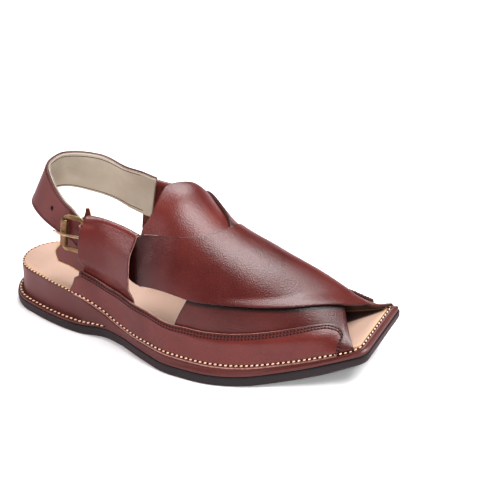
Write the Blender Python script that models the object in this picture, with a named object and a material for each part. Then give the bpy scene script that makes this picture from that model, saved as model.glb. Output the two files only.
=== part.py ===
"""Peshawari chappal, right shoe, unworn and standing on its sole.

Lengths below are millimetres in the last's own frame: x runs from the back of the heel to the toe,
y from the lateral side (minus) to the medial side (plus), and z up from the floor. Objects are made
in metres, under an empty that puts the middle of the shoe's footprint at the world origin.
"""
import math

import bmesh
import bpy
from mathutils import Vector

MM = 0.001
FOOTPRINT_CENTRE = (144.17, -0.91)   # middle of the outsole's bounding box, in the last's frame

# Sole, row by row along the shoe: half widths of the outsole, height of the insole above the bottom,
# and how far in from the outsole's edge the rand's top edge and the insole's edge lie.
SOLE_COLUMNS = ("x", "lateral", "medial", "footbed", "rand_in", "insole_in")
SOLE_ROWS = (
    (0.0, 0.0, 0.0, 33.6, 7.4, 9.3),
    (3.0, 11.9, 12.4, 33.7, 7.3, 9.2),
    (8.0, 18.9, 19.8, 33.8, 7.1, 8.9),
    (16.0, 24.8, 25.9, 34.0, 6.8, 8.6),
    (24.0, 27.9, 29.1, 34.1, 6.4, 8.2),
    (30.0, 29.6, 30.8, 34.2, 6.2, 8.0),
    (46.0, 33.7, 33.8, 34.1, 5.3, 7.2),
    (64.0, 36.6, 34.6, 33.4, 4.2, 6.4),
    (78.0, 37.3, 33.0, 31.8, 3.0, 8.0),
    (92.0, 36.7, 31.0, 26.4, 1.5, 10.0),
    (110.0, 40.2, 31.0, 19.9, 0.9, 10.5),
    (134.0, 48.5, 36.0, 17.6, 1.2, 10.5),
    (160.0, 53.8, 45.0, 16.3, 1.7, 10.5),
    (185.0, 53.2, 52.0, 15.6, 2.2, 10.5),
    (208.0, 47.2, 51.5, 14.8, 2.6, 10.5),
    (232.0, 37.1, 45.0, 14.0, 2.7, 10.5),
    (260.0, 25.4, 44.2, 13.1, 2.7, 9.0),
    (272.0, 19.6, 44.3, 12.6, 2.7, 7.6),
    (285.0, 13.7, 44.7, 12.2, 2.7, 6.6),
    (289.0, 12.0, 45.0, 12.1, 2.7, 6.6),
)
TOE_CORNERS = ((285.0, -13.7), (289.0, 45.0))
HEEL_ARC = 30.0              # length of the rounded back of the heel
HEEL_CORNER = 38.0           # degrees round that arc where the sides hand over to the back
SPRING_START = 195.0
SPRING_LENGTH = 97.0
SPRING_HEIGHT = 22.0
SPRING_POWER = 1.8
ARCH_ROWS = ((74.0, 0.0), (92.0, 1.8), (110.0, 2.4), (128.0, 1.8), (150.0, 0.0))
OUTSOLE_THICK = 7.6
TOE_THINNER = 1.2              # how much thinner the outsole is at the toe
INSOLE_THICK = 3.0
PANEL_SEAT = 2.5             # rim of the rand below the footbed, where a side panel lies on it
FLUSH_SEAT = 0.5             # the same at heel and toe, where nothing lies on it
SEAT_FROM, SEAT_TO = 62.0, 274.0
FLANGE_WIDTH = 4.4           # stitched foot of the heel's leather cover
FLANGE_THICK = 2.2
GAP = 0.35

# Last, row by row: the ridge's y and height, the fullness of each side (2 is an ellipse), and how far
# in from the outsole's edge its foot stands.
LAST_COLUMNS = ("x", "ridge_y", "ridge_z", "lateral_full", "medial_full", "foot_in")
LAST_ROWS = (
    (70.0, 2.0, 122.0, 2.2, 2.2, 8.0),
    (120.0, 2.0, 121.0, 2.25, 2.2, 8.0),
    (130.0, 2.0, 118.5, 2.25, 2.2, 8.0),
    (143.0, 2.3, 114.3, 2.25, 2.25, 8.0),
    (152.0, 2.5, 112.0, 2.2, 2.2, 8.0),
    (165.0, 1.0, 104.3, 2.15, 1.95, 8.0),
    (180.0, -0.5, 93.0, 2.1, 1.72, 8.0),
    (210.0, 4.0, 76.2, 2.1, 1.72, 8.0),
    (240.0, 13.0, 57.6, 2.1, 1.97, 8.0),
    (255.0, 17.5, 46.8, 2.15, 1.93, 8.0),
    (272.0, 26.0, 34.0, 2.2, 1.8, 6.6),
    (289.0, 33.0, 31.5, 2.2, 1.8, 5.6),
)
MEDIAL_LIFT = 8.0            # the instep beside the medial loop stands this much higher and
MEDIAL_BULGE = 8.0           # further out than the row's curve, fading out between these two x
MEDIAL_FROM, MEDIAL_TO = 135.0, 178.0

# Edges of the bands on the last, as (x, s): s is -1 at the lateral foot, 0 on the ridge, 1 at the
# medial foot. The medial band is the mirror image of the lateral one, but for its first rows.
BAND_REAR = ((114.0, -0.565), (128.6, -0.545), (131.6, -0.498), (137.0, -0.467), (148.5, -0.423),
             (157.0, -0.383), (168.0, -0.29),
             (175.0, -0.194), (180.0, -0.085), (182.5, 0.03), (182.0, 0.25), (177.0, 0.50),
             (169.0, 0.70), (161.0, 0.86), (157.0, 0.985))
BAND_FRONT = ((114.0, -0.75), (128.0, -0.765), (143.0, -0.735), (158.0, -0.70), (170.0, -0.677),
              (187.0, -0.619), (200.0, -0.581), (210.0, -0.553), (220.0, -0.518), (230.0, -0.474),
              (238.0, -0.42), (247.0, -0.327), (258.0, -0.182), (267.0, -0.04), (274.0, 0.15),
              (279.5, 0.42), (283.0, 0.70), (284.5, 0.985))
MEDIAL_BAND_SHORTER = (15.0, 9.0)    # how far the medial band's front edge lies behind that of the
                                     # lateral one, past the ridge and at its foot
BAND_THICK = 2.0
BAND_SKIVED = 1.3            # the same at the end held by its loop
CROSSING_RISE = 1.1          # the lateral band over the medial one, which it is joined to
TONGUE_THICK = 2.0
TONGUE_EDGE = ((130.0, -0.53), (130.6, -0.469), (133.3, -0.405), (135.2, -0.351), (136.5, -0.26),
               (137.1, -0.154), (137.0, -0.072), (137.6, -0.002), (139.0, 0.05), (141.5, 0.12),
               (145.0, 0.24), (147.5, 0.40), (145.0, 0.55))
TONGUE_FRONT = 205.0
TONGUE_FRONT_S = 0.22

PANEL_TOP = ((79.5, 0.855), (97.0, 0.863), (117.0, 0.852), (144.0, 0.853), (161.0, 0.846), (172.0, 0.823),
             (186.0, 0.798), (202.0, 0.768), (217.0, 0.728), (232.0, 0.668), (241.0, 0.612), (250.0, 0.537),
             (256.0, 0.49), (260.5, 0.487), (263.5, 0.525), (266.0, 0.62))
PANEL_THICK = 2.0
PANEL_OFF = 2.4              # inside of a panel, out from the last
PANEL_OVER_LOOP = 3.6        # the same where the panel passes over the foot of a loop
PANEL_BEND = 0.90            # s where the panel leaves the last and turns out over the rand
MEDIAL_REAR_LOWER = 0.05               # how much lower (in s) the medial panel starts
PANEL_REAR_SLANT = 12.5      # how far back the foot of its rear end reaches past the top

# Loops: a folded strip, with the offsets from the last of the faces towards what it holds.
LOOP_FOOT = 0.985
LOOP_INNER = 0.80            # s where the inner ply ends
LOOP_THICK = 1.8
LOOP_FOOT_OFF = 1.3          # inside of the outer ply at its foot, under the panel
LOOP_SIDES = {
    -1: {"fold": (0.59, 0.552), "top": (84.5, 128.5), "foot": (80.0, 126.5), "outer": 3.15, "inner": -3.95},
    1: {"fold": (0.53, 0.53), "top": (103.0, 142.0), "foot": (92.0, 138.0), "outer": 2.4, "inner": -0.4},
}
LOOP_BULGE = 5.9             # how far the lateral loop's rear edge stands out over the chape
BULGE_FROM, BULGE_TO = 83.5, 97.0

# Heel strap: its middle line, height, and how far its lower edge stands out behind the upper one.
STRAP_COLUMNS = ("x", "y", "z", "height", "lean")
STRAP_ROWS = (
    (104.0, -25.5, 76.4, 24.0, 3.0),
    (88.0, -25.5, 80.2, 24.0, 3.0),
    (73.8, -26.0, 86.0, 24.0, 3.0),
    (58.2, -21.8, 92.0, 25.0, 8.1),
    (44.1, -13.7, 97.2, 27.5, 12.5),
    (32.9, -1.1, 100.3, 29.3, 15.6),
    (37.1, 15.6, 100.9, 32.6, 15.8),
    (53.5, 23.3, 99.2, 36.0, 10.6),
    (72.5, 25.9, 96.9, 36.1, 5.4),
    (94.9, 25.0, 92.7, 34.4, 1.0),
    (112.0, 23.6, 88.0, 31.4, -3.0),
)
STRAP_THICK = 3.0
STRAP_END_HIGHER = 0.033       # the strap's upper edge stays this much nearer the ridge until the medial loop
# Where a loop holds the strap: x where it starts and ends bending to the last, the offset of its middle
# from the last there, and s of its lower and upper edges.
STRAP_END_SLANT = 9.0                 # the medial end is cut this much longer at its upper edge
STRAP_HELD = {
    -1: {"from": 72.0, "to": 86.0, "off": -0.4, "s": (0.80, 0.60)},
    1: {"from": 76.0, "to": 99.0, "off": -4.1, "s": (0.712, 0.42)},
}

# Buckle: the roller's middle, the way its axis and its frame's sides run, and its sizes.
ROLLER_MIDDLE = (70.6, -31.6, 81.7)
ROLLER_AXIS = (0.113, 0.131, 0.985)
FRAME_FORWARD = (0.988, 0.10, -0.114)
FRAME_LENGTH = 10.8          # from the roller's axis to the front bar's
FRAME_HALF_HEIGHT = 12.9
FRAME_CORNER = 2.1
WIRE = 2.4
ROLLER_DIAMETER = 4.9
ROLLER_BORE = 3.3
ROLLER_LENGTH = 20.8
PRONG_DIAMETER = 1.9
PRONG_REACH = 8.0            # how far its tip goes past the roller's axis
CHAPE_THICK = 1.1
CHAPE_HALF_HEIGHT = 8.0
CHAPE_SLOT = 3.0
CHAPE_OFF = 2.1              # its middle from the last inside the loop
CHAPE_S = (0.735, 0.62)
UNDERLAY_THICK = 1.3
UNDERLAY_OFF = -6.75
UNDERLAY_REAR = ((0.0, 51.0), (0.12, 49.0), (0.25, 54.0), (0.45, 64.0), (0.70, 73.0), (1.0, 79.5))   # height share, x
UNDERLAY_FRONT = 98.0
UNDERLAY_TOP = ((79.5, 0.512), (82.0, 0.507), (84.5, 0.58), (98.0, 0.64))
UNDERLAY_FOOT = 0.92


# ---------------------------------------------------------------- curves and surfaces in millimetres

def through(rows, at, column=1):
    """A smooth curve through the rows, read at a value of their first column and held at its ends."""
    xs = [row[0] for row in rows]
    ys = [row[column] for row in rows]
    if at <= xs[0]:
        return ys[0]
    if at >= xs[-1]:
        return ys[-1]
    i = max(k for k in range(len(xs) - 1) if xs[k] <= at)

    def slope(k):
        if k in (0, len(xs) - 1):
            j = 0 if k == 0 else k - 1
            return (ys[j + 1] - ys[j]) / (xs[j + 1] - xs[j])
        before = (ys[k] - ys[k - 1]) / (xs[k] - xs[k - 1])
        after = (ys[k + 1] - ys[k]) / (xs[k + 1] - xs[k])
        if before * after <= 0.0:
            return 0.0
        first, second = xs[k] - xs[k - 1], xs[k + 1] - xs[k]
        return (before * second + after * first) / (first + second)

    span = xs[i + 1] - xs[i]
    t = (at - xs[i]) / span
    return ((1 + 2 * t) * (1 - t) ** 2 * ys[i] + t * (1 - t) ** 2 * span * slope(i)
            + t * t * (3 - 2 * t) * ys[i + 1] + t * t * (t - 1) * span * slope(i + 1))


def between(low, high, value):
    """0 below low, 1 above high, and a smooth step from one to the other."""
    t = min(1.0, max(0.0, (value - low) / (high - low)))
    return t * t * (3.0 - 2.0 * t)


def sole(x, name):
    return through(SOLE_ROWS, x, SOLE_COLUMNS.index(name))


def last(x, name):
    return through(LAST_ROWS, x, LAST_COLUMNS.index(name))


def spring(x):
    return SPRING_HEIGHT * max(0.0, (x - SPRING_START) / SPRING_LENGTH) ** SPRING_POWER


def ground(x):
    """Height of the outsole's underside: flat at heel and ball, lifted in the arch and at the toe."""
    return through(ARCH_ROWS, x) + spring(x)


def outsole_top(x):
    return ground(x) + OUTSOLE_THICK - TOE_THINNER * between(256.0, 284.0, x)


def footbed(x):
    return sole(x, "footbed") + spring(x)


def seat_drop(x):
    """How far the rand's rim lies below the footbed."""
    covered = between(SEAT_FROM, SEAT_FROM + 10.0, x) * (1.0 - between(SEAT_TO, SEAT_TO + 8.0, x))
    return FLUSH_SEAT + (PANEL_SEAT - FLUSH_SEAT) * covered


def rim(x):
    return footbed(x) - seat_drop(x)


def edge_y(x, side):
    """y of the outsole's edge; side is -1 lateral, 1 medial."""
    column = 1 if side < 0 else 2
    return side * math.sqrt(through([(row[0], row[column] ** 2) for row in SOLE_ROWS], x))


def last_point(x, s):
    """A point of the last: s is -1 at its lateral foot, 0 on the ridge and 1 at its medial foot."""
    side = -1.0 if s < 0.0 else 1.0
    reach = min(abs(s), 1.0)
    ridge = last(x, "ridge_y")
    corner = TOE_CORNERS[0 if side < 0 else 1]
    foot = edge_y(min(x, corner[0]), side) - side * last(x, "foot_in")
    full = 2.0 / last(x, "lateral_full" if side < 0 else "medial_full")
    angle = (1.0 - reach) * math.pi / 2.0
    base = rim(x) + GAP + 0.5 * between(255.0, 275.0, x)
    top = last(x, "ridge_z")
    y = ridge + (foot - ridge) * math.cos(angle) ** full
    z = base + (top - base) * math.sin(angle) ** full
    if side > 0:
        near_loop = 1.0 - between(MEDIAL_FROM, MEDIAL_TO, x)
        y += MEDIAL_BULGE * math.sin(math.pi * reach) * near_loop
        z += MEDIAL_LIFT * math.sin(math.pi * reach) ** 2 * near_loop
    return Vector((x, y, z))


def outward(x, s):
    """The last's unit normal, pointing away from the foot."""
    s = max(-0.985, min(0.985, s))
    along = last_point(x + 1.0, s) - last_point(x - 1.0, s)
    across = last_point(x, s + 0.012) - last_point(x, s - 0.012)
    return along.cross(across).normalized()


def on_last(x, s, off):
    return last_point(x, s) + outward(x, s) * off


def along_rows(rows, t):
    """A smooth curve through rows of (x, s), with t from 0 to 1 counted by distance in millimetres."""
    lengths = [0.0]
    for a, b in zip(rows, rows[1:]):
        lengths.append(lengths[-1] + math.hypot(b[0] - a[0], 70.0 * (b[1] - a[1])))
    at = t * lengths[-1]
    return tuple(through([(d, row[k]) for d, row in zip(lengths, rows)], at) for k in (0, 1))


# ------------------------------------------------------------------------- meshes from those curves

def new_object(name, bm, colour, roughness, metallic=0.0):
    """Closes the bmesh into a smooth-shaded object with its own material, under the shoe's empty."""
    bmesh.ops.remove_doubles(bm, verts=bm.verts, dist=0.00002)
    bmesh.ops.recalc_face_normals(bm, faces=bm.faces)
    if bm.calc_volume(signed=True) < 0.0:
        bmesh.ops.reverse_faces(bm, faces=bm.faces)
    mesh = bpy.data.meshes.new(name)
    bm.to_mesh(mesh)
    bm.free()
    mesh.shade_smooth()
    mesh.set_sharp_from_angle(angle=math.radians(35.0))
    material = bpy.data.materials.new(name)
    material.use_nodes = True
    shader = material.node_tree.nodes["Principled BSDF"]
    shader.inputs["Base Color"].default_value = (*colour, 1.0)
    shader.inputs["Roughness"].default_value = roughness
    shader.inputs["Metallic"].default_value = metallic
    mesh.materials.append(material)
    made = bpy.data.objects.new(name, mesh)
    bpy.context.scene.collection.objects.link(made)
    made.parent = shoe
    return made


def edges_of(bm, vertices, boundary=False):
    """The edges that meet these vertices, in the mesh's own order."""
    bm.edges.index_update()
    found = {edge for vertex in vertices for edge in vertex.link_edges if edge.is_boundary or not boundary}
    return sorted(found, key=lambda edge: edge.index)


def mapped_grid(bm, rows, columns, place):
    """A grid of rows by columns squares, bent so that its point (u, v) lies at place(u, v)."""
    made = bmesh.ops.create_grid(bm, x_segments=rows, y_segments=columns, size=1.0)["verts"]
    for vertex in made:
        u = (vertex.co.x + 1.0) / 2.0
        v = (vertex.co.y + 1.0) / 2.0
        vertex.co = Vector(place(u, v)) * MM
    return edges_of(bm, made, boundary=True)


def leather(name, rows, columns, outer, inner, colour, roughness=0.45):
    """A piece of leather between two faces that share one grid, closed round its cut edge."""
    bm = bmesh.new()
    rim_edges = mapped_grid(bm, rows, columns, outer)
    rim_edges += mapped_grid(bm, rows, columns, inner)
    bmesh.ops.bridge_loops(bm, edges=rim_edges)
    return new_object(name, bm, colour, roughness)


RED_BROWN = (0.19, 0.035, 0.028)
TAN = (0.78, 0.53, 0.38)
BLACK = (0.018, 0.02, 0.022)
BRASS = (0.28, 0.20, 0.10)
ROWS_ALONG = 30
ROWS_ACROSS = 6


def sole_ring(inset_of):
    """The outsole's edge moved in by inset_of(x), as four sides: lateral, toe, medial and heel."""
    def side_point(side, u):
        corner = TOE_CORNERS[0 if side < 0 else 1]
        arc_rows = 5
        arc_share = arc_rows / ROWS_ALONG
        if u < arc_share:
            angle = math.radians(HEEL_CORNER + (90.0 - HEEL_CORNER) * u / arc_share)
            x = HEEL_ARC * (1.0 - math.cos(angle))
        else:
            x = HEEL_ARC + (corner[0] - HEEL_ARC) * (u - arc_share) / (1.0 - arc_share)
        return Vector((x, edge_y(x, side), 0.0))

    def heel_point(v):
        angle = math.radians(HEEL_CORNER * (2.0 * v - 1.0))
        side = -1.0 if angle < 0.0 else 1.0
        x = HEEL_ARC * (1.0 - math.cos(angle))
        return Vector((x, edge_y(x, side) if abs(angle) > 1e-6 else 0.0, 0.0))

    lateral = [side_point(-1, i / ROWS_ALONG) for i in range(ROWS_ALONG + 1)]
    medial = [side_point(1, i / ROWS_ALONG) for i in range(ROWS_ALONG + 1)]
    toe = [lateral[-1].lerp(medial[-1], j / ROWS_ACROSS) for j in range(ROWS_ACROSS + 1)]
    heel = [heel_point(j / ROWS_ACROSS) for j in range(ROWS_ACROSS + 1)]
    loop = lateral + toe[1:] + medial[-2::-1] + heel[-2:0:-1]
    for corner in (ROWS_ALONG, ROWS_ALONG + ROWS_ACROSS):
        loop[corner] = 0.5 * loop[corner] + 0.25 * (loop[corner - 1] + loop[corner + 1])
    moved = []
    for i, point in enumerate(loop):
        before = (point - loop[i - 1]).normalized()
        after = (loop[(i + 1) % len(loop)] - point).normalized()
        normals = [Vector((-d.y, d.x, 0.0)) for d in (before, after)]
        mitre = (normals[0] + normals[1]) / (1.0 + normals[0].dot(normals[1]))
        moved.append(point + mitre * inset_of(point.x))
    a, b = ROWS_ALONG, ROWS_ALONG + ROWS_ACROSS
    c = b + ROWS_ALONG
    return moved[:a + 1], moved[a:b + 1], moved[b:c + 1][::-1], (moved[c:] + moved[:1])[::-1]


def ring_loop(ring):
    lateral, toe, medial, heel = ring
    return lateral + toe[1:] + medial[-2::-1] + heel[-2:0:-1]


def ring_patch(ring, height):
    """A surface filling the ring, as a function of u along the shoe and v across it."""
    lateral, toe, medial, heel = ring

    def place(u, v):
        i, j = round(u * ROWS_ALONG), round(v * ROWS_ACROSS)
        sides = lateral[i].lerp(medial[i], v)
        ends = heel[j].lerp(toe[j], u)
        corners = heel[0].lerp(heel[-1], v).lerp(toe[0].lerp(toe[-1], v), u)
        point = sides + ends - corners
        return point.x, point.y, height(point.x)
    return place


def sole_layer(name, profile, colour, roughness):
    """A closed layer of the sole from rows of (inset, height), bottom cap first and top cap last."""
    bm = bmesh.new()
    loops = []
    for number, (inset_of, height) in enumerate(profile):
        ring = sole_ring(inset_of)
        if number in (0, len(profile) - 1):
            loops.append(mapped_grid(bm, ROWS_ALONG, ROWS_ACROSS, ring_patch(ring, height)))
            continue
        corners = [bm.verts.new(Vector((p.x, p.y, height(p.x))) * MM) for p in ring_loop(ring)]
        pairs = zip(corners, corners[1:] + corners[:1])
        loops.append([bm.edges.new(pair) for pair in pairs])
    for lower, upper in zip(loops, loops[1:]):
        bmesh.ops.bridge_loops(bm, edges=lower + upper)
    return new_object(name, bm, colour, roughness)


def make_outsole():
    sole_layer("outsole", (
        (lambda x: 1.4, ground),
        (lambda x: 0.2, lambda x: ground(x) + 1.2),
        (lambda x: 0.0, lambda x: outsole_top(x) - 0.8),
        (lambda x: 0.6, outsole_top),
    ), BLACK, 0.6)


def make_rand():
    def seat(x):
        return outsole_top(x) + GAP

    def flange(x):
        return FLANGE_WIDTH * (1.0 - between(60.0, 100.0, x))

    def rim_in(x):
        return sole(x, "rand_in")

    def wall_in(x, share):
        foot = 0.8 + flange(x)
        return foot + (max(rim_in(x), foot + 0.2) - foot) * share

    def wall_z(x, share):
        low = seat(x) + FLANGE_THICK
        return low + (rim(x) - 0.9 - low) * share

    def hollow(x):
        return sole(x, "insole_in") - GAP

    def hollow_z(x):
        return footbed(x) - INSOLE_THICK - GAP
    sole_layer("rand", (
        (lambda x: 1.0, seat),
        (lambda x: 0.8, lambda x: seat(x) + FLANGE_THICK * 0.8),
        (lambda x: 0.9 + flange(x) * 0.75, lambda x: seat(x) + FLANGE_THICK),
        (lambda x: wall_in(x, 0.35), lambda x: wall_z(x, 0.3)),
        (lambda x: wall_in(x, 1.0), lambda x: wall_z(x, 1.0)),
        (lambda x: wall_in(x, 1.0) + 0.9, rim),
        (hollow, rim),
        (hollow, hollow_z),
    ), RED_BROWN, 0.5)


def make_insole():
    def edge(x):
        return sole(x, "insole_in") + 0.15
    sole_layer("insole", (
        (edge, lambda x: footbed(x) - INSOLE_THICK),
        (edge, lambda x: footbed(x) - 0.5),
        (lambda x: edge(x) + 0.5, footbed),
    ), TAN, 0.7)


# ------------------------------------------------------------------------------------------- upper

def band_sheet(side, off, shorter):
    """One face of a band: u runs from its loop to the far foot, v from its rear to its front edge."""
    def place(u, v):
        rear = along_rows(BAND_REAR, u)
        front = along_rows(BAND_FRONT, u)
        x = rear[0] + (front[0] - rear[0]) * v
        s = rear[1] + (front[1] - rear[1]) * v
        x -= v * (shorter[0] * between(0.42, 0.72, u) - (shorter[0] - shorter[1]) * between(0.74, 1.0, u))
        if side > 0:
            near_loop = 1.0 - between(0.0, 0.3, u)
            x += (LOOP_SIDES[1]["top"][0] - LOOP_SIDES[-1]["top"][0]) * near_loop
            s -= 0.085 * (1.0 - v) * near_loop
        return on_last(x, s * -side, off(x, s))
    return place


def band_outer(x, s):
    """Thickness of a band: skived where its loop holds it."""
    return BAND_SKIVED + (BAND_THICK - BAND_SKIVED) * between(114.0, 126.0, x)


def under_band_edge(x):
    """s of the medial band's front edge on the medial side, where the lateral band steps down."""
    return through([(row[0], -row[1]) for row in BAND_FRONT if row[1] < 0.0], x)


def make_upper():
    """Two crossing bands. The lateral one lies over the medial one, and they are one where they cross."""
    def rise(x, s):
        clear_of_loop = between(146.0, 162.0, x)
        edge = under_band_edge(x)
        return CROSSING_RISE * clear_of_loop * (1.0 - between(edge, edge + 0.16, s))
    lateral = leather("upper", 27, 8,
                      band_sheet(-1, lambda x, s: rise(x, s) + band_outer(x, s), (0.0, 0.0)),
                      band_sheet(-1, rise, (0.0, 0.0)), RED_BROWN)
    medial = leather("medial_band", 27, 8,
                     band_sheet(1, band_outer, MEDIAL_BAND_SHORTER),
                     band_sheet(1, lambda x, s: 0.0, MEDIAL_BAND_SHORTER), RED_BROWN)
    medial.hide_render = True
    medial.display_type = "WIRE"
    join = lateral.modifiers.new("crossing", "BOOLEAN")
    join.operation = "UNION"
    join.object = medial
    join.solver = "EXACT"


def make_tongue():
    """A rounded tongue under both bands; only its rear, above the throat, shows."""
    def sheet(off):
        def place(u, v):
            x_rear, s_rear = along_rows(TONGUE_EDGE, v)
            s_front = TONGUE_FRONT_S * (2.0 * v - 1.0)
            x = x_rear + (TONGUE_FRONT - x_rear) * u
            s = s_rear + (s_front - s_rear) * u
            return on_last(x, s, off)
        return place
    top = -GAP - 0.15
    leather("tongue", 12, 13, sheet(top), sheet(top - TONGUE_THICK), RED_BROWN)


def panel_sheet(side, depth):
    """A side panel: u runs forward along it and v from its cut top edge down to the stitched flange."""
    over_to = LOOP_SIDES[side]["foot"][1]

    def place(u, v):
        x, top = along_rows(PANEL_TOP, u)
        if side > 0:
            x += 4.5 * between(0.6, 1.0, u)
            top += MEDIAL_REAR_LOWER * (1.0 - between(100.0, 125.0, x))
        x -= PANEL_REAR_SLANT * between(0.2, 1.0, v) * (1.0 - between(0.0, 0.14, u))
        off = PANEL_OVER_LOOP + (PANEL_OFF - PANEL_OVER_LOOP) * between(over_to + 2.0, over_to + 18.0, x)
        off += 0.2 + 0.35 * between(215.0, 240.0, x) + depth
        bend = max(PANEL_BEND, top + 0.02)
        out = sole(x, "rand_in") + 0.9
        flat = Vector((x, edge_y(x, side) - side * out, rim(x) + GAP + 0.2 + depth))
        if v < 0.5:
            s = top + (bend - top) * v / 0.5
            return on_last(x, s * side, off)
        knee = on_last(x, bend * side, off)
        middle = Vector((x, knee.y * 0.72 + flat.y * 0.28, flat.z + 0.6))
        t = (v - 0.5) / 0.5
        return knee.lerp(middle, t).lerp(middle.lerp(flat, t), t)
    return place


def make_panels():
    for side, name in ((-1, "side_panel_lateral"), (1, "side_panel_medial")):
        leather(name, 30, 6, panel_sheet(side, PANEL_THICK), panel_sheet(side, 0.0), RED_BROWN)


# ---------------------------------------------------------------------------- loops, strap, buckle

def loop_sheet(side, thick):
    """A loop: u runs forward, v goes up the outer ply, over the fold and down the inner ply."""
    sizes = LOOP_SIDES[side]
    radius = (sizes["outer"] - sizes["inner"]) / 2.0
    middle = (sizes["outer"] + sizes["inner"]) / 2.0

    def bulge(x, s):
        if side > 0:
            return 0.0
        over_chape = between(0.53, 0.60, s) * (1.0 - between(0.755, 0.85, s))
        return LOOP_BULGE * over_chape * (1.0 - between(BULGE_FROM, BULGE_TO, x))

    def place(u, v):
        fold, x_top, x_foot = [sizes[key][0] + (sizes[key][1] - sizes[key][0]) * u
                               for key in ("fold", "top", "foot")]

        def x_at(s):
            return x_foot + (x_top - x_foot) * (LOOP_FOOT - s) / (LOOP_FOOT - fold)
        if v < 0.55:
            s = LOOP_FOOT + (fold - LOOP_FOOT) * v / 0.55
            lift = 1.0 - between(0.78, 0.86, s)
            off = LOOP_FOOT_OFF + (sizes["outer"] - LOOP_FOOT_OFF) * lift
            return on_last(x_at(s), s * side, off + bulge(x_at(s), s) + thick)
        if v > 0.72:
            s = fold + (LOOP_INNER - fold) * (v - 0.72) / 0.28
            return on_last(x_at(s), s * side, sizes["inner"] - thick)
        normal = outward(x_top, fold * side)
        centre = on_last(x_top, fold * side, middle)
        up = last_point(x_top, (fold - 0.02) * side) - last_point(x_top, fold * side)
        up = (up - normal * up.dot(normal)).normalized()
        angle = math.pi * (v - 0.55) / 0.17
        reach = radius + thick
        out = math.cos(angle) * reach + max(0.0, math.cos(angle)) * bulge(x_top, fold)
        return centre + normal * out + up * (math.sin(angle) * reach)
    return place


def make_loops():
    for side, name in ((-1, "loop_lateral"), (1, "loop_medial")):
        leather(name, 8, 26, loop_sheet(side, LOOP_THICK), loop_sheet(side, 0.0), RED_BROWN)


def strap_frame(u):
    """Middle of the strap at u from 0 (lateral end) to 1, with the directions forward, up it and out."""
    lengths = [0.0]
    for a, b in zip(STRAP_ROWS, STRAP_ROWS[1:]):
        lengths.append(lengths[-1] + math.hypot(b[0] - a[0], b[1] - a[1]))

    def row_at(share):
        return [through([(d, row[k]) for d, row in zip(lengths, STRAP_ROWS)], share * lengths[-1])
                for k in range(5)]
    x, y, z, height, lean = row_at(u)
    ahead, behind = row_at(min(1.0, u + 0.01)), row_at(max(0.0, u - 0.01))
    along = Vector((ahead[0] - behind[0], ahead[1] - behind[1], 0.0)).normalized()
    out = Vector((-along.y, along.x, 0.0))
    across = Vector((0.0, 0.0, height)) - out * lean
    face = across.cross(along).normalized()
    return Vector((x, y, z)), along, across, face


def strap_point(u, v, off):
    """A point of the strap: v runs from its lower to its upper edge; off is outwards from its middle."""
    centre, along, across, face = strap_frame(u)
    face = face if face.dot(Vector((-along.y, along.x, 0.0))) > 0.0 else -face
    free = centre + across * (v - 0.5) + face * off
    side = -1 if centre.y < 0.0 else 1
    hold = STRAP_HELD[side]
    held = between(hold["from"], hold["to"], centre.x)
    if held == 0.0:
        return free
    s = hold["s"][0] + (hold["s"][1] - hold["s"][0]) * v
    if side > 0:
        s -= STRAP_END_HIGHER * v * (1.0 - between(100.0, 112.0, centre.x))
    x = centre.x + (STRAP_END_SLANT * (v - 0.3) * between(92.0, 112.0, centre.x) if side > 0 else 0.0)
    return free.lerp(on_last(x, s * side, hold["off"] + off), held)


def make_strap():
    def sheet(off):
        return lambda u, v: strap_point(u, v, off)
    leather("heel_strap", 46, 3, sheet(STRAP_THICK / 2.0), sheet(-STRAP_THICK / 2.0), RED_BROWN)


def swept(name, path, radius, closed, colour, roughness, metallic):
    """A round wire along a path of points, closed into a ring or capped with flat ends."""
    bm = bmesh.new()
    sides = 8
    count = len(path)
    middle = sum(path, Vector()) / count
    rings = []
    for i, point in enumerate(path):
        before = path[i - 1] if closed or i else path[0]
        after = path[(i + 1) % count] if closed or i + 1 < count else path[-1]
        along = (after - before).normalized()
        first = (point - middle).cross(along)
        first = first.normalized() if first.length > 1e-6 else along.orthogonal().normalized()
        second = along.cross(first)
        made = bmesh.ops.create_circle(bm, segments=sides, radius=1.0)["verts"]
        for k, vertex in enumerate(made):
            angle = 2.0 * math.pi * k / sides
            offset = first * math.cos(angle) + second * math.sin(angle)
            vertex.co = (point + offset * radius) * MM
        rings.append(edges_of(bm, made))
    pairs = list(zip(rings, rings[1:]))
    if closed:
        pairs.append((rings[-1], rings[0]))
    for a, b in pairs:
        bmesh.ops.bridge_loops(bm, edges=a + b)
    if not closed:
        bmesh.ops.holes_fill(bm, edges=[e for e in bm.edges if e.is_boundary])
    return new_object(name, bm, colour, roughness, metallic)


def buckle_point(forward, outward_by, up):
    """A point in the buckle's own directions, from the middle of its roller."""
    axis = Vector(ROLLER_AXIS).normalized()
    along = Vector(FRAME_FORWARD).normalized()
    return (Vector(ROLLER_MIDDLE) + along * forward + along.cross(axis) * outward_by + axis * up)


def make_frame():
    centres = ((0.0, 1.0, 90.0), (0.0, -1.0, 180.0), (1.0, -1.0, 270.0), (1.0, 1.0, 0.0))
    path = []
    for along, up, start in centres:
        x = FRAME_CORNER if along == 0.0 else FRAME_LENGTH - FRAME_CORNER
        z = up * (FRAME_HALF_HEIGHT - FRAME_CORNER)
        for k in range(5):
            angle = math.radians(start + 90.0 * k / 4.0)
            path.append(buckle_point(x + FRAME_CORNER * math.cos(angle), 0.0,
                                     z + FRAME_CORNER * math.sin(angle)))
    swept("buckle_frame", path, WIRE / 2.0, True, BRASS, 0.4, 1.0)


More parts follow.
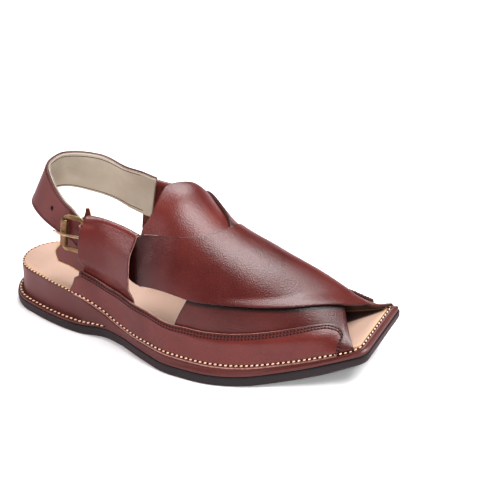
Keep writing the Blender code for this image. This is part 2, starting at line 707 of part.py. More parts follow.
def make_roller():
    bm = bmesh.new()
    half = ROLLER_LENGTH / 2.0
    section = bmesh.ops.create_circle(bm, segments=4, radius=1.0)["verts"]
    corners = ((ROLLER_BORE, -half), (ROLLER_DIAMETER, -half), (ROLLER_DIAMETER, half), (ROLLER_BORE, half))
    for vertex, (diameter, up) in zip(section, corners):
        vertex.co = buckle_point(diameter / 2.0, 0.0, up) * MM
    bmesh.ops.spin(bm, geom=list(bm.verts) + list(bm.edges), cent=Vector(ROLLER_MIDDLE) * MM,
                   axis=Vector(ROLLER_AXIS).normalized(), angle=math.tau, steps=20, use_merge=True)
    new_object("buckle_roller", bm, BRASS, 0.4, 1.0)


def make_prong():
    """A pin hooked round the front bar, over the roller and down to the strap."""
    hook = WIRE / 2.0 + GAP + PRONG_DIAMETER / 2.0
    over = ROLLER_DIAMETER / 2.0 + GAP + PRONG_DIAMETER / 2.0
    path = []
    for k in range(11):
        angle = math.radians(-60.0 + 13.5 * k)
        path.append(buckle_point(FRAME_LENGTH + hook * math.cos(angle), hook * math.sin(angle), 0.0))
    path.append(buckle_point(FRAME_LENGTH * 0.62, over * 0.98, 0.0))
    path.append(buckle_point(2.0, over + 0.1, 0.0))
    path.append(buckle_point(-1.5, over + 0.1, 0.0))
    path.append(buckle_point(-5.0, over - 0.9, 0.0))
    path.append(buckle_point(-PRONG_REACH, over - 1.9, 0.0))
    swept("buckle_prong", path, PRONG_DIAMETER / 2.0, False, BRASS, 0.4, 1.0)


def ribbon(name, rows, columns, middle, thick, colour):
    """A strip of leather of even thickness about a middle surface middle(u, v)."""
    def sheet(off):
        def place(u, v):
            along = middle(min(1.0, u + 0.01), v) - middle(max(0.0, u - 0.01), v)
            across = middle(u, min(1.0, v + 0.02)) - middle(u, max(0.0, v - 0.02))
            return middle(u, v) + along.cross(across).normalized() * off
        return place
    return leather(name, rows, columns, sheet(thick / 2.0), sheet(-thick / 2.0), colour)


def chape_middle(u, v):
    """The chape's middle surface: from inside the loop, round the front bar and back under it."""
    up = CHAPE_HALF_HEIGHT * (2.0 * v - 1.0)
    s = CHAPE_S[0] + (CHAPE_S[1] - CHAPE_S[0]) * v
    fold = WIRE / 2.0 + GAP + CHAPE_THICK / 2.0
    stations = [on_last(103.0, -s, CHAPE_OFF), on_last(96.5, -s, CHAPE_OFF),
                on_last(91.5, -s, CHAPE_OFF + 0.9), buckle_point(FRAME_LENGTH + 3.8, fold - 0.9, up)]
    for angle in (75.0, 120.0, 165.0, 210.0, 255.0):
        turn = math.radians(angle)
        stations.append(buckle_point(FRAME_LENGTH + fold * math.cos(turn), fold * math.sin(turn), up))
    stations.append(buckle_point(FRAME_LENGTH + 1.6, -fold, up))
    at = u * (len(stations) - 1)
    rows = [(float(k), point) for k, point in enumerate(stations)]
    return Vector([through([(k, point[axis]) for k, point in rows], at) for axis in range(3)])


def make_chape():
    chape = ribbon("buckle_chape", 22, 3, chape_middle, CHAPE_THICK, RED_BROWN)
    bm = bmesh.new()
    made = bmesh.ops.create_cube(bm, size=1.0)["verts"]
    for vertex in made:
        vertex.co = buckle_point(FRAME_LENGTH + 0.3 + vertex.co.x * 9.6, vertex.co.y * 12.0,
                                 vertex.co.z * CHAPE_SLOT) * MM
    slot = new_object("prong_slot", bm, RED_BROWN, 0.5)
    slot.hide_render = True
    slot.display_type = "WIRE"
    cut = chape.modifiers.new("slot", "BOOLEAN")
    cut.operation = "DIFFERENCE"
    cut.object = slot
    cut.solver = "EXACT"


def make_underlay():
    """Raw leather between the buckle and the foot, held on the inside of the loop."""
    def middle(u, v):
        rear = through(UNDERLAY_REAR, v)
        x = rear + (UNDERLAY_FRONT - rear) * u
        s = UNDERLAY_FOOT + (through(UNDERLAY_TOP, x) - UNDERLAY_FOOT) * v
        return on_last(x, -s, UNDERLAY_OFF)
    ribbon("buckle_underlay", 8, 8, middle, UNDERLAY_THICK, TAN)


for old in list(bpy.data.objects):
    bpy.data.objects.remove(old)
shoe = bpy.data.objects.new("shoe", None)
shoe.location = (-FOOTPRINT_CENTRE[0] * MM, -FOOTPRINT_CENTRE[1] * MM, 0.0)
bpy.context.scene.collection.objects.link(shoe)

make_outsole()
make_rand()
make_insole()
make_upper()
make_tongue()
make_panels()
make_loops()
make_strap()
make_frame()
make_roller()
make_prong()
make_chape()
make_underlay()
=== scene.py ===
"""Peshawari chappal, right shoe, unworn and standing on its sole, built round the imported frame.

Lengths in the tables are millimetres in the last's own frame: x runs from the back of the heel to the
toe, y from the lateral side (minus) to the medial side (plus) and z up from the floor.
"""
import bisect
import functools
import math

import bmesh
import bpy
from mathutils import Matrix, Vector


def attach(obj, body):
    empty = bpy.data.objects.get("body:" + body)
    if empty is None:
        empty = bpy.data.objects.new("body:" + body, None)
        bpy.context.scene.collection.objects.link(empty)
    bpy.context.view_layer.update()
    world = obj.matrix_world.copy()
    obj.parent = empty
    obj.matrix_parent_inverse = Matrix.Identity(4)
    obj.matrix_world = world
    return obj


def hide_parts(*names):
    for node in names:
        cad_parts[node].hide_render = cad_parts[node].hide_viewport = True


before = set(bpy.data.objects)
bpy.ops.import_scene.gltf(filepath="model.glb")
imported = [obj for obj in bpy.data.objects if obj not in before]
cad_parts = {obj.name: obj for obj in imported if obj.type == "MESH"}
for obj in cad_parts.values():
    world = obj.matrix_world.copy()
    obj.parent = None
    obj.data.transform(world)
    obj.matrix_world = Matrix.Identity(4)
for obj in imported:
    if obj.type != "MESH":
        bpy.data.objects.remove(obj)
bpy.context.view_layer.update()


# ------------------------------------------------------------------------------ floor, light, camera
# A seamless matt white sweep under soft lamps, and a long lens that looks down on the lateral side of
# the shoe, tipped a little to one side.
CAMERA_PLACE = (0.322045, -0.525097, 0.444867)
CAMERA_AZIMUTH, CAMERA_ELEVATION, CAMERA_ROLL = 27.085, 31.749, -2.76
LENS = 75.19
FLOOR_SIZE = 6.0
ROOM_FILL, ROOM_IN_GLOSS = 0.40, 0.06
FLOOR_IN_GLOSS = (0.62, 0.43, 0.44, 1.0)
SOFT_LAMPS = (
    # name, place, aimed at, size, watts, colour, seen in the gloss
    ("overhead_lamp", (0.54, 0.10, 1.06), (0.0, 0.0, 0.03), (0.95, 0.7), 27.0, (1.0, 0.98, 0.99), True),
    ("back_lamp", (-0.35, 0.85, 0.95), (0.0, 0.0, 0.03), (0.7, 0.5), 12.0, (1.0, 1.0, 1.0), True),
    ("front_lamp", (0.36, -0.95, 0.66), (0.0, 0.0, 0.04), (0.35, 0.3), 7.5, (1.0, 1.0, 1.0), False),
    ("heel_lamp", (-1.1, -0.60, 0.46), (0.0, 0.0, 0.05), (0.32, 0.32), 4.5, (1.0, 0.82, 0.86), True),
    ("side_lamp", (-0.67, -0.95, 0.77), (0.0, 0.0, 0.05), (0.4, 0.3), 2.6, (1.0, 0.72, 0.74), True),
    ("inner_lamp", (-0.014, -0.006, 0.056), (-0.018, -0.008, 0.018), (0.04, 0.03), 0.006,
     (1.0, 0.97, 0.95), False),
)


class Finish:
    """A new material with its Principled shader, and short ways to add nodes and join them to it."""

    def __init__(self, name):
        self.material = bpy.data.materials.new(name)
        self.material.use_nodes = True
        self.tree = self.material.node_tree
        self.place = self.add("TexCoord").outputs["Object"]

    def join(self, node, inputs):
        for key, value in inputs.items():
            if isinstance(value, bpy.types.NodeSocket):
                self.tree.links.new(value, node.inputs[key])
            else:
                node.inputs[key].default_value = value

    def add(self, kind, inputs=None, **settings):
        node = self.tree.nodes.new("ShaderNode" + kind)
        for key, value in settings.items():
            setattr(node, key, value)
        self.join(node, inputs or {})
        return node

    def noise(self, scale, detail, roughness=0.5):
        inputs = {"Vector": self.place, "Scale": scale, "Detail": detail, "Roughness": roughness}
        return self.add("TexNoise", inputs).outputs["Fac"]

    def attribute(self, name):
        return self.add("Attribute", attribute_name=name).outputs["Fac"]

    def ramp(self, value, *stops):
        """Colours, or plain numbers, at places along a value."""
        node = self.add("ValToRGB", {"Fac": value})
        while len(node.color_ramp.elements) < len(stops):
            node.color_ramp.elements.new(0.5)
        for element, (place, colour) in zip(node.color_ramp.elements, stops):
            element.position = place
            element.color = (*(colour if isinstance(colour, tuple) else (colour,) * 3), 1.0)
        return node.outputs["Color"]

    def spread(self, value, low, high, to_low=0.0, to_high=1.0):
        inputs = {"Value": value, "From Min": low, "From Max": high, "To Min": to_low, "To Max": to_high}
        return self.add("MapRange", inputs).outputs["Result"]

    def sum(self, operation, first, second):
        return self.add("Math", {0: first, 1: second}, operation=operation).outputs[0]

    def mix(self, share, first, second, way="MIX"):
        return self.add("Mix", {0: share, 6: first, 7: second}, data_type="RGBA", blend_type=way).outputs[2]

    def done(self, colour, roughness, bump=None, shine=0.5, metal=0.0):
        """Joins everything to the shader; bump is (height, strength, depth in metres)."""
        inputs = {"Base Color": colour, "Roughness": roughness, "Specular IOR Level": shine, "Metallic": metal}
        if bump:
            relief = self.add("Bump", dict(zip(("Height", "Strength", "Distance"), bump)))
            inputs["Normal"] = relief.outputs["Normal"]
        self.join(self.tree.nodes["Principled BSDF"], inputs)
        return self.material


def put(name, bm, *materials, smooth_to=40.0):
    """Turns a bmesh into an object at the origin."""
    mesh = bpy.data.meshes.new(name)
    bm.to_mesh(mesh)
    bm.free()
    mesh.shade_smooth()
    mesh.set_sharp_from_angle(angle=math.radians(smooth_to))
    for material in materials:
        mesh.materials.append(material)
    made = bpy.data.objects.new(name, mesh)
    bpy.context.scene.collection.objects.link(made)
    return made


paint = Finish("sweep_white")
pale = paint.ramp(paint.noise(9.0, 3.0), (0.3, 0.86), (0.7, 0.89))
in_reflections = paint.add("LightPath").outputs["Is Glossy Ray"]
sweep_white = paint.done(paint.mix(in_reflections, pale, FLOOR_IN_GLOSS), 0.7)
bm = bmesh.new()
bmesh.ops.create_grid(bm, x_segments=2, y_segments=2, size=FLOOR_SIZE / 2.0)
floor = put("floor", bm, sweep_white)

world = bpy.data.worlds.new("studio")
world.use_nodes = True
background = world.node_tree.nodes["Background"]
background.inputs["Color"].default_value = (0.93, 0.96, 1.0, 1.0)
fill = world.node_tree.nodes.new("ShaderNodeMapRange")
fill.inputs["To Min"].default_value, fill.inputs["To Max"].default_value = ROOM_FILL, ROOM_IN_GLOSS
rays = world.node_tree.nodes.new("ShaderNodeLightPath")
world.node_tree.links.new(rays.outputs["Is Glossy Ray"], fill.inputs["Value"])
world.node_tree.links.new(fill.outputs["Result"], background.inputs["Strength"])
bpy.context.scene.world = world
bpy.context.scene.view_settings.view_transform = "Standard"

for name, lamp_place, target, size, watts, colour, in_gloss in SOFT_LAMPS:
    lamp = bpy.data.lights.new(name, "AREA")
    lamp.shape = "RECTANGLE"
    lamp.size, lamp.size_y = size
    lamp.energy, lamp.color = watts, colour
    holder = bpy.data.objects.new(name, lamp)
    aim = Vector(lamp_place) - Vector(target)
    holder.matrix_world = Matrix.Translation(lamp_place) @ aim.to_track_quat("Z", "Y").to_matrix().to_4x4()
    holder.visible_glossy = in_gloss
    holder.visible_camera = False
    bpy.context.scene.collection.objects.link(holder)

azimuth, elevation = math.radians(CAMERA_AZIMUTH), math.radians(CAMERA_ELEVATION)
towards_camera = Vector((math.sin(azimuth) * math.cos(elevation),
                         -math.cos(azimuth) * math.cos(elevation), math.sin(elevation)))
camera = bpy.data.objects.new("camera", bpy.data.cameras.new("camera"))
camera.data.lens, camera.data.sensor_width = LENS, 36.0
camera.data.clip_start = 0.02
camera.matrix_world = (Matrix.Translation(CAMERA_PLACE)
                       @ towards_camera.to_track_quat("Z", "Y").to_matrix().to_4x4()
                       @ Matrix.Rotation(math.radians(CAMERA_ROLL), 4, "Z"))
bpy.context.scene.collection.objects.link(camera)
bpy.context.scene.camera = camera


# -------------------------------------------------------------------------------------------- outsole
# A moulded black rubber outsole, flat under heel and ball, with a shallow arch, a sprung toe and a
# chisel front cut on a slant. It is glued under the leather-covered rand.
MM = 0.001
FOOTPRINT_CENTRE = Vector((144.17, -0.91, 0.0))
SOLE_COLUMNS = ("x", "lateral", "medial", "footbed", "rand_in", "insole_in")
SOLE_ROWS = (
    (0.0, 0.0, 0.0, 33.6, 7.4, 9.3),
    (3.0, 11.9, 12.4, 33.7, 7.3, 9.2),
    (8.0, 18.9, 19.8, 33.8, 7.1, 8.9),
    (16.0, 24.8, 25.9, 34.0, 6.8, 8.6),
    (24.0, 27.9, 29.1, 34.1, 6.4, 8.2),
    (30.0, 29.6, 30.8, 34.2, 6.2, 8.0),
    (46.0, 33.7, 33.8, 34.1, 5.3, 7.2),
    (64.0, 36.6, 34.6, 33.4, 4.2, 6.4),
    (78.0, 37.3, 33.0, 31.8, 3.0, 8.0),
    (92.0, 36.7, 31.0, 26.4, 1.5, 10.0),
    (110.0, 40.2, 31.0, 19.9, 0.9, 10.5),
    (134.0, 48.5, 36.0, 17.6, 1.2, 10.5),
    (160.0, 53.8, 45.0, 16.3, 1.7, 10.5),
    (185.0, 53.2, 52.0, 15.6, 2.2, 10.5),
    (208.0, 47.2, 51.5, 14.8, 2.6, 10.5),
    (232.0, 37.1, 45.0, 14.0, 2.7, 10.5),
    (260.0, 25.4, 44.2, 13.1, 2.7, 9.0),
    (272.0, 19.6, 44.3, 12.6, 2.7, 7.6),
    (285.0, 13.7, 44.7, 12.2, 2.7, 6.6),
    (289.0, 12.0, 45.0, 12.1, 2.7, 6.6),
)
TOE_CORNER = {-1: Vector((285.0, -13.7, 0.0)), 1: Vector((289.0, 45.0, 0.0))}
HEEL_ARC = 30.0              # length of the rounded back of the heel
HEEL_SHARE = 0.16            # share of each side's outline that this arc takes
HEEL_CORNER = 38.0           # degrees round the arc where the sides hand over to the back
SPRING_START, SPRING_LENGTH, SPRING_HEIGHT, SPRING_POWER = 195.0, 97.0, 22.0, 1.8
ARCH_ROWS = ((74.0, 0.0), (92.0, 1.8), (110.0, 2.4), (128.0, 1.8), (150.0, 0.0))
OUTSOLE_THICK, TOE_THINNER = 7.6, 1.2
TOE_X = 287.0                # about the middle of the toe's front edge
CORNER_ROUND, CORNER_LESS, CORNER_LEAST = 6.5, 0.55, 1.6   # radius, its loss for each mm of inset, its least
SOLE_ALONG, SOLE_ACROSS = 120, 24
SOLE_ROUND = 2 * (SOLE_ALONG + SOLE_ACROSS)


@functools.lru_cache(maxsize=None)
def fitted(rows, column):
    """Places, values and slopes of a curve that goes smoothly through the rows and never overshoots them."""
    places, values = [row[0] for row in rows], [row[column] for row in rows]
    spans = [b - a for a, b in zip(places, places[1:])]
    rises = [(b - a) / span for a, b, span in zip(values, values[1:], spans)]
    slopes = [rises[0]]
    for before, after, first, second in zip(rises, rises[1:], spans, spans[1:]):
        slopes.append((before * second + after * first) / (first + second) if before * after > 0.0 else 0.0)
    return places, values, slopes + [rises[-1]]


def through(rows, at, column=1):
    """The fitted curve, read at a value of the rows' first column and held at its ends."""
    places, values, slopes = fitted(rows, column)
    if at <= places[0]:
        return values[0]
    if at >= places[-1]:
        return values[-1]
    i = bisect.bisect_right(places, at) - 1
    span = places[i + 1] - places[i]
    t = (at - places[i]) / span
    return ((1 + 2 * t) * (1 - t) ** 2 * values[i] + t * (1 - t) ** 2 * span * slopes[i]
            + t * t * (3 - 2 * t) * values[i + 1] + t * t * (t - 1) * span * slopes[i + 1])


def between(low, high, value):
    """0 below low, 1 above high, and a smooth step from one to the other."""
    t = min(1.0, max(0.0, (value - low) / (high - low)))
    return t * t * (3.0 - 2.0 * t)


def part_way(ends, t):
    """A value, or a point, a share t of the way from the first end to the second."""
    return ends[0] + (ends[1] - ends[0]) * t


def sole(x, name):
    return through(SOLE_ROWS, x, SOLE_COLUMNS.index(name))


def spring(x):
    return SPRING_HEIGHT * max(0.0, (x - SPRING_START) / SPRING_LENGTH) ** SPRING_POWER


def ground(x):
    return through(ARCH_ROWS, x) + spring(x)


SQUARED_WIDTHS = {side: tuple((row[0], row[column] ** 2) for row in SOLE_ROWS)
                  for side, column in ((-1, 1), (1, 2))}


def edge_y(x, side):
    """y of the outsole's edge; side is -1 lateral, 1 medial."""
    return side * math.sqrt(through(SQUARED_WIDTHS[side], x))


def outline(side, t, inset_of):
    """A point inside the outsole's edge; t is 0 at the back of the heel and 1 at the toe's corner."""
    def edge(t):
        along = abs(t)
        if along < HEEL_SHARE:
            x = HEEL_ARC * (1.0 - math.cos(math.pi / 2.0 * along / HEEL_SHARE))
        else:
            x = HEEL_ARC + (TOE_CORNER[side].x - HEEL_ARC) * (along - HEEL_SHARE) / (1.0 - HEEL_SHARE)
        return Vector((x, edge_y(x, side if t >= 0.0 else -side), 0.0))
    step = 0.004
    along = (edge(min(1.0, t + step)) - edge(t - step)).normalized()
    point = edge(t)
    return point + Vector((-along.y, along.x, 0.0)) * -side * inset_of(point.x)


def sole_ring(inset_of, rounding):
    """The outline moved in by inset_of(x), as four sides, with its two toe corners rounded."""
    toe_along = (TOE_CORNER[1] - TOE_CORNER[-1]).normalized()
    toe_in = Vector((-toe_along.y, toe_along.x, 0.0))

    def short_of_toe(side, t):
        return (outline(side, t, inset_of) - TOE_CORNER[-1]).dot(toe_in) - inset_of(TOE_X)

    sides = {}
    first = HEEL_SHARE * HEEL_CORNER / 90.0
    for side in (-1, 1):
        low, high = 0.6, 1.0
        for _ in range(30):
            middle = (low + high) / 2.0
            low, high = (middle, high) if short_of_toe(side, middle) > 0.0 else (low, middle)
        steps = [part_way((first, low), i / SOLE_ALONG) for i in range(SOLE_ALONG + 1)]
        sides[side] = [outline(side, t, inset_of) for t in steps]
    toe = [sides[-1][-1].lerp(sides[1][-1], j / SOLE_ACROSS) for j in range(SOLE_ACROSS + 1)]
    heel = []
    for j in range(SOLE_ACROSS + 1):
        t = first * (2.0 * j / SOLE_ACROSS - 1.0)
        heel.append(outline(-1, -t, inset_of) if t < 0.0 else outline(1, t, inset_of))
    loop = sides[-1] + toe[1:] + sides[1][-2::-1] + heel[-2:0:-1]
    for corner in (SOLE_ALONG, SOLE_ALONG + SOLE_ACROSS):
        tip = loop[corner].copy()
        reach = [k for k in range(-8, 9) if (loop[(corner + k) % SOLE_ROUND] - tip).length < rounding]
        ends = [loop[corner + reach[0]].copy(), loop[corner + reach[-1]].copy()]
        for k in reach:
            t = (k - reach[0]) / max(1, reach[-1] - reach[0])
            loop[corner + k] = ends[0].lerp(tip, t).lerp(tip.lerp(ends[1], t), t)
    a, b = SOLE_ALONG, SOLE_ALONG + SOLE_ACROSS
    c = b + SOLE_ALONG
    return loop[:a + 1], loop[a:b + 1], loop[b:c + 1][::-1], (loop[c:] + loop[:1])[::-1]


def at(point):
    """A point of the last's frame, in metres in the frame that all pieces share."""
    return (Vector(point) - FOOTPRINT_CENTRE) * MM


def edges_of(bm, vertices, boundary=False):
    """The edges that meet these vertices, in the mesh's own order."""
    bm.edges.index_update()
    found = {edge for vertex in vertices for edge in vertex.link_edges if edge.is_boundary or not boundary}
    return sorted(found, key=lambda edge: edge.index)


def mapped_grid(bm, rows, columns, lay, material_index=0):
    """A grid bent so that its point (u, v) lies at lay(u, v); each point keeps its way to the cut edge."""
    edge_layer = bm.verts.layers.float.get("edge_mm") or bm.verts.layers.float.new("edge_mm")
    made = bmesh.ops.create_grid(bm, x_segments=rows, y_segments=columns, size=1.0)["verts"]
    net = {}
    for vertex in made:
        i, j = round((vertex.co.x + 1.0) / 2.0 * rows), round((vertex.co.y + 1.0) / 2.0 * columns)
        net[i, j] = vertex
        vertex.co = at(lay(i / rows, j / columns))
        vertex[edge_layer] = 1000.0
    lines = [[net[i, j] for i in range(rows + 1)] for j in range(columns + 1)]
    lines += [[net[i, j] for j in range(columns + 1)] for i in range(rows + 1)]
    for line in lines + [line[::-1] for line in lines]:
        gone, before = 0.0, line[0]
        for vertex in line:
            gone += (vertex.co - before.co).length / MM
            vertex[edge_layer] = min(vertex[edge_layer], gone)
            before = vertex
    for face in {face for vertex in made for face in vertex.link_faces}:
        face.material_index = material_index
    return edges_of(bm, made, boundary=True), net


def sole_layer(name, profile, material, dish=None):
    """A closed layer of the sole from rows of (inset, height), the bottom's edge first, the top's last."""
    bm = bmesh.new()
    for number, (inset_of, height) in enumerate(profile):
        inset = inset_of if callable(inset_of) else (lambda x, fixed=inset_of: fixed)
        rounding = max(CORNER_LEAST, CORNER_ROUND - CORNER_LESS * inset(TOE_X))
        lateral, toe, medial, heel = sole_ring(inset, rounding)
        if number:
            edges = [bm.edges.get(pair) for pair in zip(corners, corners[1:] + corners[:1])]
            made = set(bmesh.ops.extrude_edge_only(bm, edges=edges)["geom"])
            ends = [[edge.other_vert(corner) for edge in corner.link_edges] for corner in corners]
            corners = [next(end for end in near if end in made) for near in ends]
            for corner, p in zip(corners, lateral + toe[1:] + medial[-2::-1] + heel[-2:0:-1]):
                corner.co = at((p.x, p.y, height(p.x)))
        if number in (0, len(profile) - 1):
            def cap(u, v):
                i, j = round(u * SOLE_ALONG), round(v * SOLE_ACROSS)
                middle = heel[0].lerp(heel[-1], v).lerp(toe[0].lerp(toe[-1], v), u)
                point = lateral[i].lerp(medial[i], v) + heel[j].lerp(toe[j], u) - middle
                sunk = dish(u, v) if dish and number else 0.0
                return point.x, point.y, height(point.x) - sunk
            _, net = mapped_grid(bm, SOLE_ALONG, SOLE_ACROSS, cap)
            edge = [net[i, 0] for i in range(SOLE_ALONG)] + [net[SOLE_ALONG, j] for j in range(SOLE_ACROSS)]
            edge += [net[i, SOLE_ACROSS] for i in range(SOLE_ALONG, 0, -1)]
            edge += [net[0, j] for j in range(SOLE_ACROSS, 0, -1)]
            if number:
                bmesh.ops.weld_verts(bm, targetmap=dict(zip(corners, edge)))
            corners = edge
    bmesh.ops.recalc_face_normals(bm, faces=bm.faces)
    return put(name, bm, material)


moulded = Finish("moulded_rubber")
clouds, skin = moulded.noise(45.0, 4.0), moulded.noise(1500.0, 2.0)
rubber = moulded.done(moulded.ramp(clouds, (0.3, (0.0055, 0.0062, 0.0070)), (0.7, (0.0085, 0.0095, 0.0105))),
                      moulded.ramp(clouds, (0.3, 0.42), (0.7, 0.56)), (skin, 0.25, 0.0002), 0.35)


def outsole_top(x):
    return ground(x) + OUTSOLE_THICK - TOE_THINNER * between(256.0, 284.0, x)


outsole = sole_layer("outsole_rubber", (
    (3.0, ground),
    (1.3, lambda x: ground(x) + 0.05),
    (0.45, lambda x: ground(x) + 0.45),
    (0.1, lambda x: ground(x) + 1.3),
    (0.0, lambda x: ground(x) + 2.6),
    (0.0, lambda x: outsole_top(x) - 1.2),
    (0.12, lambda x: outsole_top(x) - 0.5),
    (0.4, lambda x: outsole_top(x) - 0.1),
    (0.9, outsole_top),
), rubber)
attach(outsole, "root")
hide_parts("outsole")


# ----------------------------------------------------------------------------------------------- rand
# The wedge and midsole under one cover of red-brown leather, tall at the heel and low at the forefoot.
# At the heel the cover turns out into a stitched foot; at the toe its front is bevelled.
PANEL_SEAT, FLUSH_SEAT = 2.5, 0.5
SEAT_FROM, SEAT_TO = 62.0, 274.0
FLANGE_WIDTH, FLANGE_THICK = 4.4, 2.2
GAP = 0.35
INSOLE_THICK = 3.0


def leather_finish(name, deep, warm, roughness=(0.27, 0.38), grain=0.38, edge_tone=1.6, lap_shade=None):
    """Smooth chrome-tanned leather with a fine pebbled grain, clouded colour and burnished edges; the last
    argument
    paints shade beside the piece over it: width in mm, tone there, and the share that is even."""
    hide = Finish(name)
    clouds, specks, folds = hide.noise(22.0, 3.0, 0.55), hide.noise(520.0, 2.0), hide.noise(950.0, 4.0, 0.6)
    tint = hide.ramp(specks, (0.3, 0.42), (0.7, 0.58))
    colour = hide.mix(0.35, hide.ramp(clouds, (0.34, deep), (0.66, warm)), tint, "OVERLAY")
    rubbed = hide.spread(hide.attribute("edge_mm"), 0.2, edge_tone, 0.55, 0.0)
    colour = hide.mix(rubbed, colour, (*BURNISHED, 1.0))
    # Painted shade: darker towards the piece that laps over this one.
    if lap_shade:
        width, tone, even = lap_shade
        painted_shade_reach = hide.sum("MULTIPLY", hide.attribute("lap_shade_mm"), 1.0 / width)
        colour = hide.mix(1.0, colour, hide.ramp(painted_shade_reach, (0.0, tone), (even, tone), (1.0, 1.0)), "MULTIPLY")
    cells = hide.add("TexVoronoi", {"Vector": hide.place, "Scale": 1250.0}).outputs["Distance"]
    gloss = hide.ramp(hide.sum("MULTIPLY", clouds, folds), (0.12, roughness[0]), (0.40, roughness[1]))
    return hide.done(colour, gloss, (hide.sum("ADD", cells, folds), grain, 0.0003), 0.46)


BURNISHED = (0.022, 0.004, 0.0035)
red_brown = leather_finish("red_brown_leather", (0.058, 0.0075, 0.0066), (0.096, 0.0130, 0.0092))
cover_leather = leather_finish("rand_leather", (0.096, 0.0190, 0.0170), (0.130, 0.0265, 0.0215),
                               (0.30, 0.42), 0.18, 0.3)


def seat_drop(x):
    """How far the rand's rim lies below the footbed."""
    covered = between(SEAT_FROM, SEAT_FROM + 10.0, x) * (1.0 - between(SEAT_TO, SEAT_TO + 8.0, x))
    return part_way((FLUSH_SEAT, PANEL_SEAT), covered)


def footbed(x):
    return sole(x, "footbed") + spring(x)


def rim(x):
    return footbed(x) - seat_drop(x)


def flange(x):
    return FLANGE_WIDTH * (1.0 - between(60.0, 100.0, x))


def rand_seat(x):
    return outsole_top(x) + 0.15


def flange_row(inset, share, lift):
    """A row of the rand's foot: inset plus a share of the flange, lift above the flange's top."""
    return (lambda x: inset + flange(x) * share), (lambda x: rand_seat(x) + FLANGE_THICK + lift(x))


def wall_row(share, height_share):
    """A row of the rand's wall, at a share of its slant and of its height."""
    def inset(x):
        foot = 0.8 + flange(x)
        return foot + (max(sole(x, "rand_in"), foot + 0.2) - foot) * share

    def height(x):
        low = rand_seat(x) + FLANGE_THICK
        return low + (rim(x) - 0.9 - low) * height_share
    return inset, height


def rim_row(further, lift):
    """A row of the rounded rim: further in than the wall's top, and lifted from the rim's height."""
    return (lambda x: wall_row(1.0, 1.0)[0](x) + further), (lambda x: rim(x) + lift)


def groove(x):
    return -0.35 * flange(x) / FLANGE_WIDTH


def hollow(x):
    return sole(x, "insole_in") - 0.2


rand = sole_layer("rand_cover", (
    (1.4, rand_seat),
    (0.9, lambda x: rand_seat(x) + 0.12),
    (0.72, lambda x: rand_seat(x) + 0.55),
    (0.72, lambda x: rand_seat(x) + 1.3),
    flange_row(0.84, 0.03, lambda x: -0.28),
    flange_row(0.92, 0.12, lambda x: -0.05),
    flange_row(0.90, 0.30, lambda x: 0.0),
    flange_row(0.90, 0.44, groove),   # the foot's thread lies here
    flange_row(0.90, 0.58, lambda x: 0.0),
    flange_row(0.84, 0.82, lambda x: 0.02),
    flange_row(0.80, 0.97, lambda x: 0.35),
    wall_row(0.10, 0.09),
    wall_row(0.30, 0.24),
    wall_row(0.50, 0.42),
    wall_row(0.70, 0.62),
    wall_row(0.88, 0.82),
    wall_row(0.98, 0.94),
    rim_row(0.03, -0.75),
    rim_row(0.22, -0.33),
    rim_row(0.52, -0.08),
    rim_row(0.95, 0.0),
    (hollow, rim),
    (hollow, lambda x: footbed(x) - INSOLE_THICK - 0.2),
), cover_leather)
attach(rand, "root")
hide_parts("rand")


# --------------------------------------------------------------------------------------------- insole
# Vegetable-tanned tan leather, cut to the rim and stitched round its edge. Its surface is smooth, with
# fine fibres and a slight hollow where the foot goes.
LIT_PATCH_FROM, LIT_PATCH_TO = -0.06, 0.05      # x in metres: a paler patch under the bands, painted light where the insole shows through the window
SHADOW_ACROSS, SHADOW_LINE = (-0.56, 0.829, 0.0), (-0.0490, -0.0468)   # the soft line of the painted shadow under the toe
SHADOW_FROM, SHADOW_FULL = 0.045, 0.085
HOLLOW_DEPTH = 0.9
tan = Finish("tan_insole_leather")
clouds, fibres = tan.noise(28.0, 4.0), tan.noise(1100.0, 4.0, 0.7)
colour = tan.mix(0.40, tan.ramp(clouds, (0.32, (0.365, 0.232, 0.170)), (0.68, (0.415, 0.276, 0.209))),
                 tan.ramp(fibres, (0.3, 0.40), (0.7, 0.58)), "OVERLAY")
length = tan.add("SeparateXYZ", {0: tan.place}).outputs["X"]
# Painted light: the insole is paler under the bands, where it shows through the window.
painted_light_patch = tan.ramp(tan.spread(length, LIT_PATCH_FROM, LIT_PATCH_TO), (0.0, 0.0), (0.2, 1.0), (0.60, 1.0), (1.0, 0.0))
colour = tan.mix(painted_light_patch, colour, (0.80, 0.55, 0.43, 1.0))
# Painted shadow: the insole goes dark beyond a soft line under the toe, where the lateral band would shade it.
painted_shade_reach = tan.add("VectorMath", {0: tan.place, 1: SHADOW_ACROSS}, operation="DOT_PRODUCT").outputs["Value"]
painted_shadow = tan.sum("MULTIPLY", tan.spread(painted_shade_reach, *SHADOW_LINE), tan.spread(length, SHADOW_FROM, SHADOW_FULL))
colour = tan.mix(painted_shadow, colour, (0.030, 0.012, 0.009, 1.0))
rubbed = tan.spread(tan.attribute("edge_mm"), 0.0, 1.6, 0.55, 0.0)
tan_leather = tan.done(tan.mix(rubbed, colour, (0.50, 0.28, 0.15, 1.0)),
                       tan.ramp(fibres, (0.2, 0.58), (0.8, 0.74)), (fibres, 0.15, 0.0002))


def insole_in(further):
    """A row of the insole's edge, further in than its outline."""
    return lambda x: sole(x, "insole_in") + further


def foot_hollow(u, v):
    """A slight dish under heel and ball that leaves the stitched edge flat."""
    return HOLLOW_DEPTH * math.sin(math.pi * v) ** 2 * between(0.02, 0.10, u) * (1.0 - between(0.80, 0.98, u))


insole = sole_layer("insole_leather", (
    (insole_in(0.1), lambda x: footbed(x) - INSOLE_THICK),
    (insole_in(0.02), lambda x: footbed(x) - INSOLE_THICK + 0.3),
    (insole_in(0.0), lambda x: footbed(x) - 0.6),
    (insole_in(0.12), lambda x: footbed(x) - 0.2),
    (insole_in(0.4), lambda x: footbed(x) - 0.03),
    (insole_in(0.9), footbed),
), tan_leather, foot_hollow)
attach(insole, "root")
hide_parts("insole")


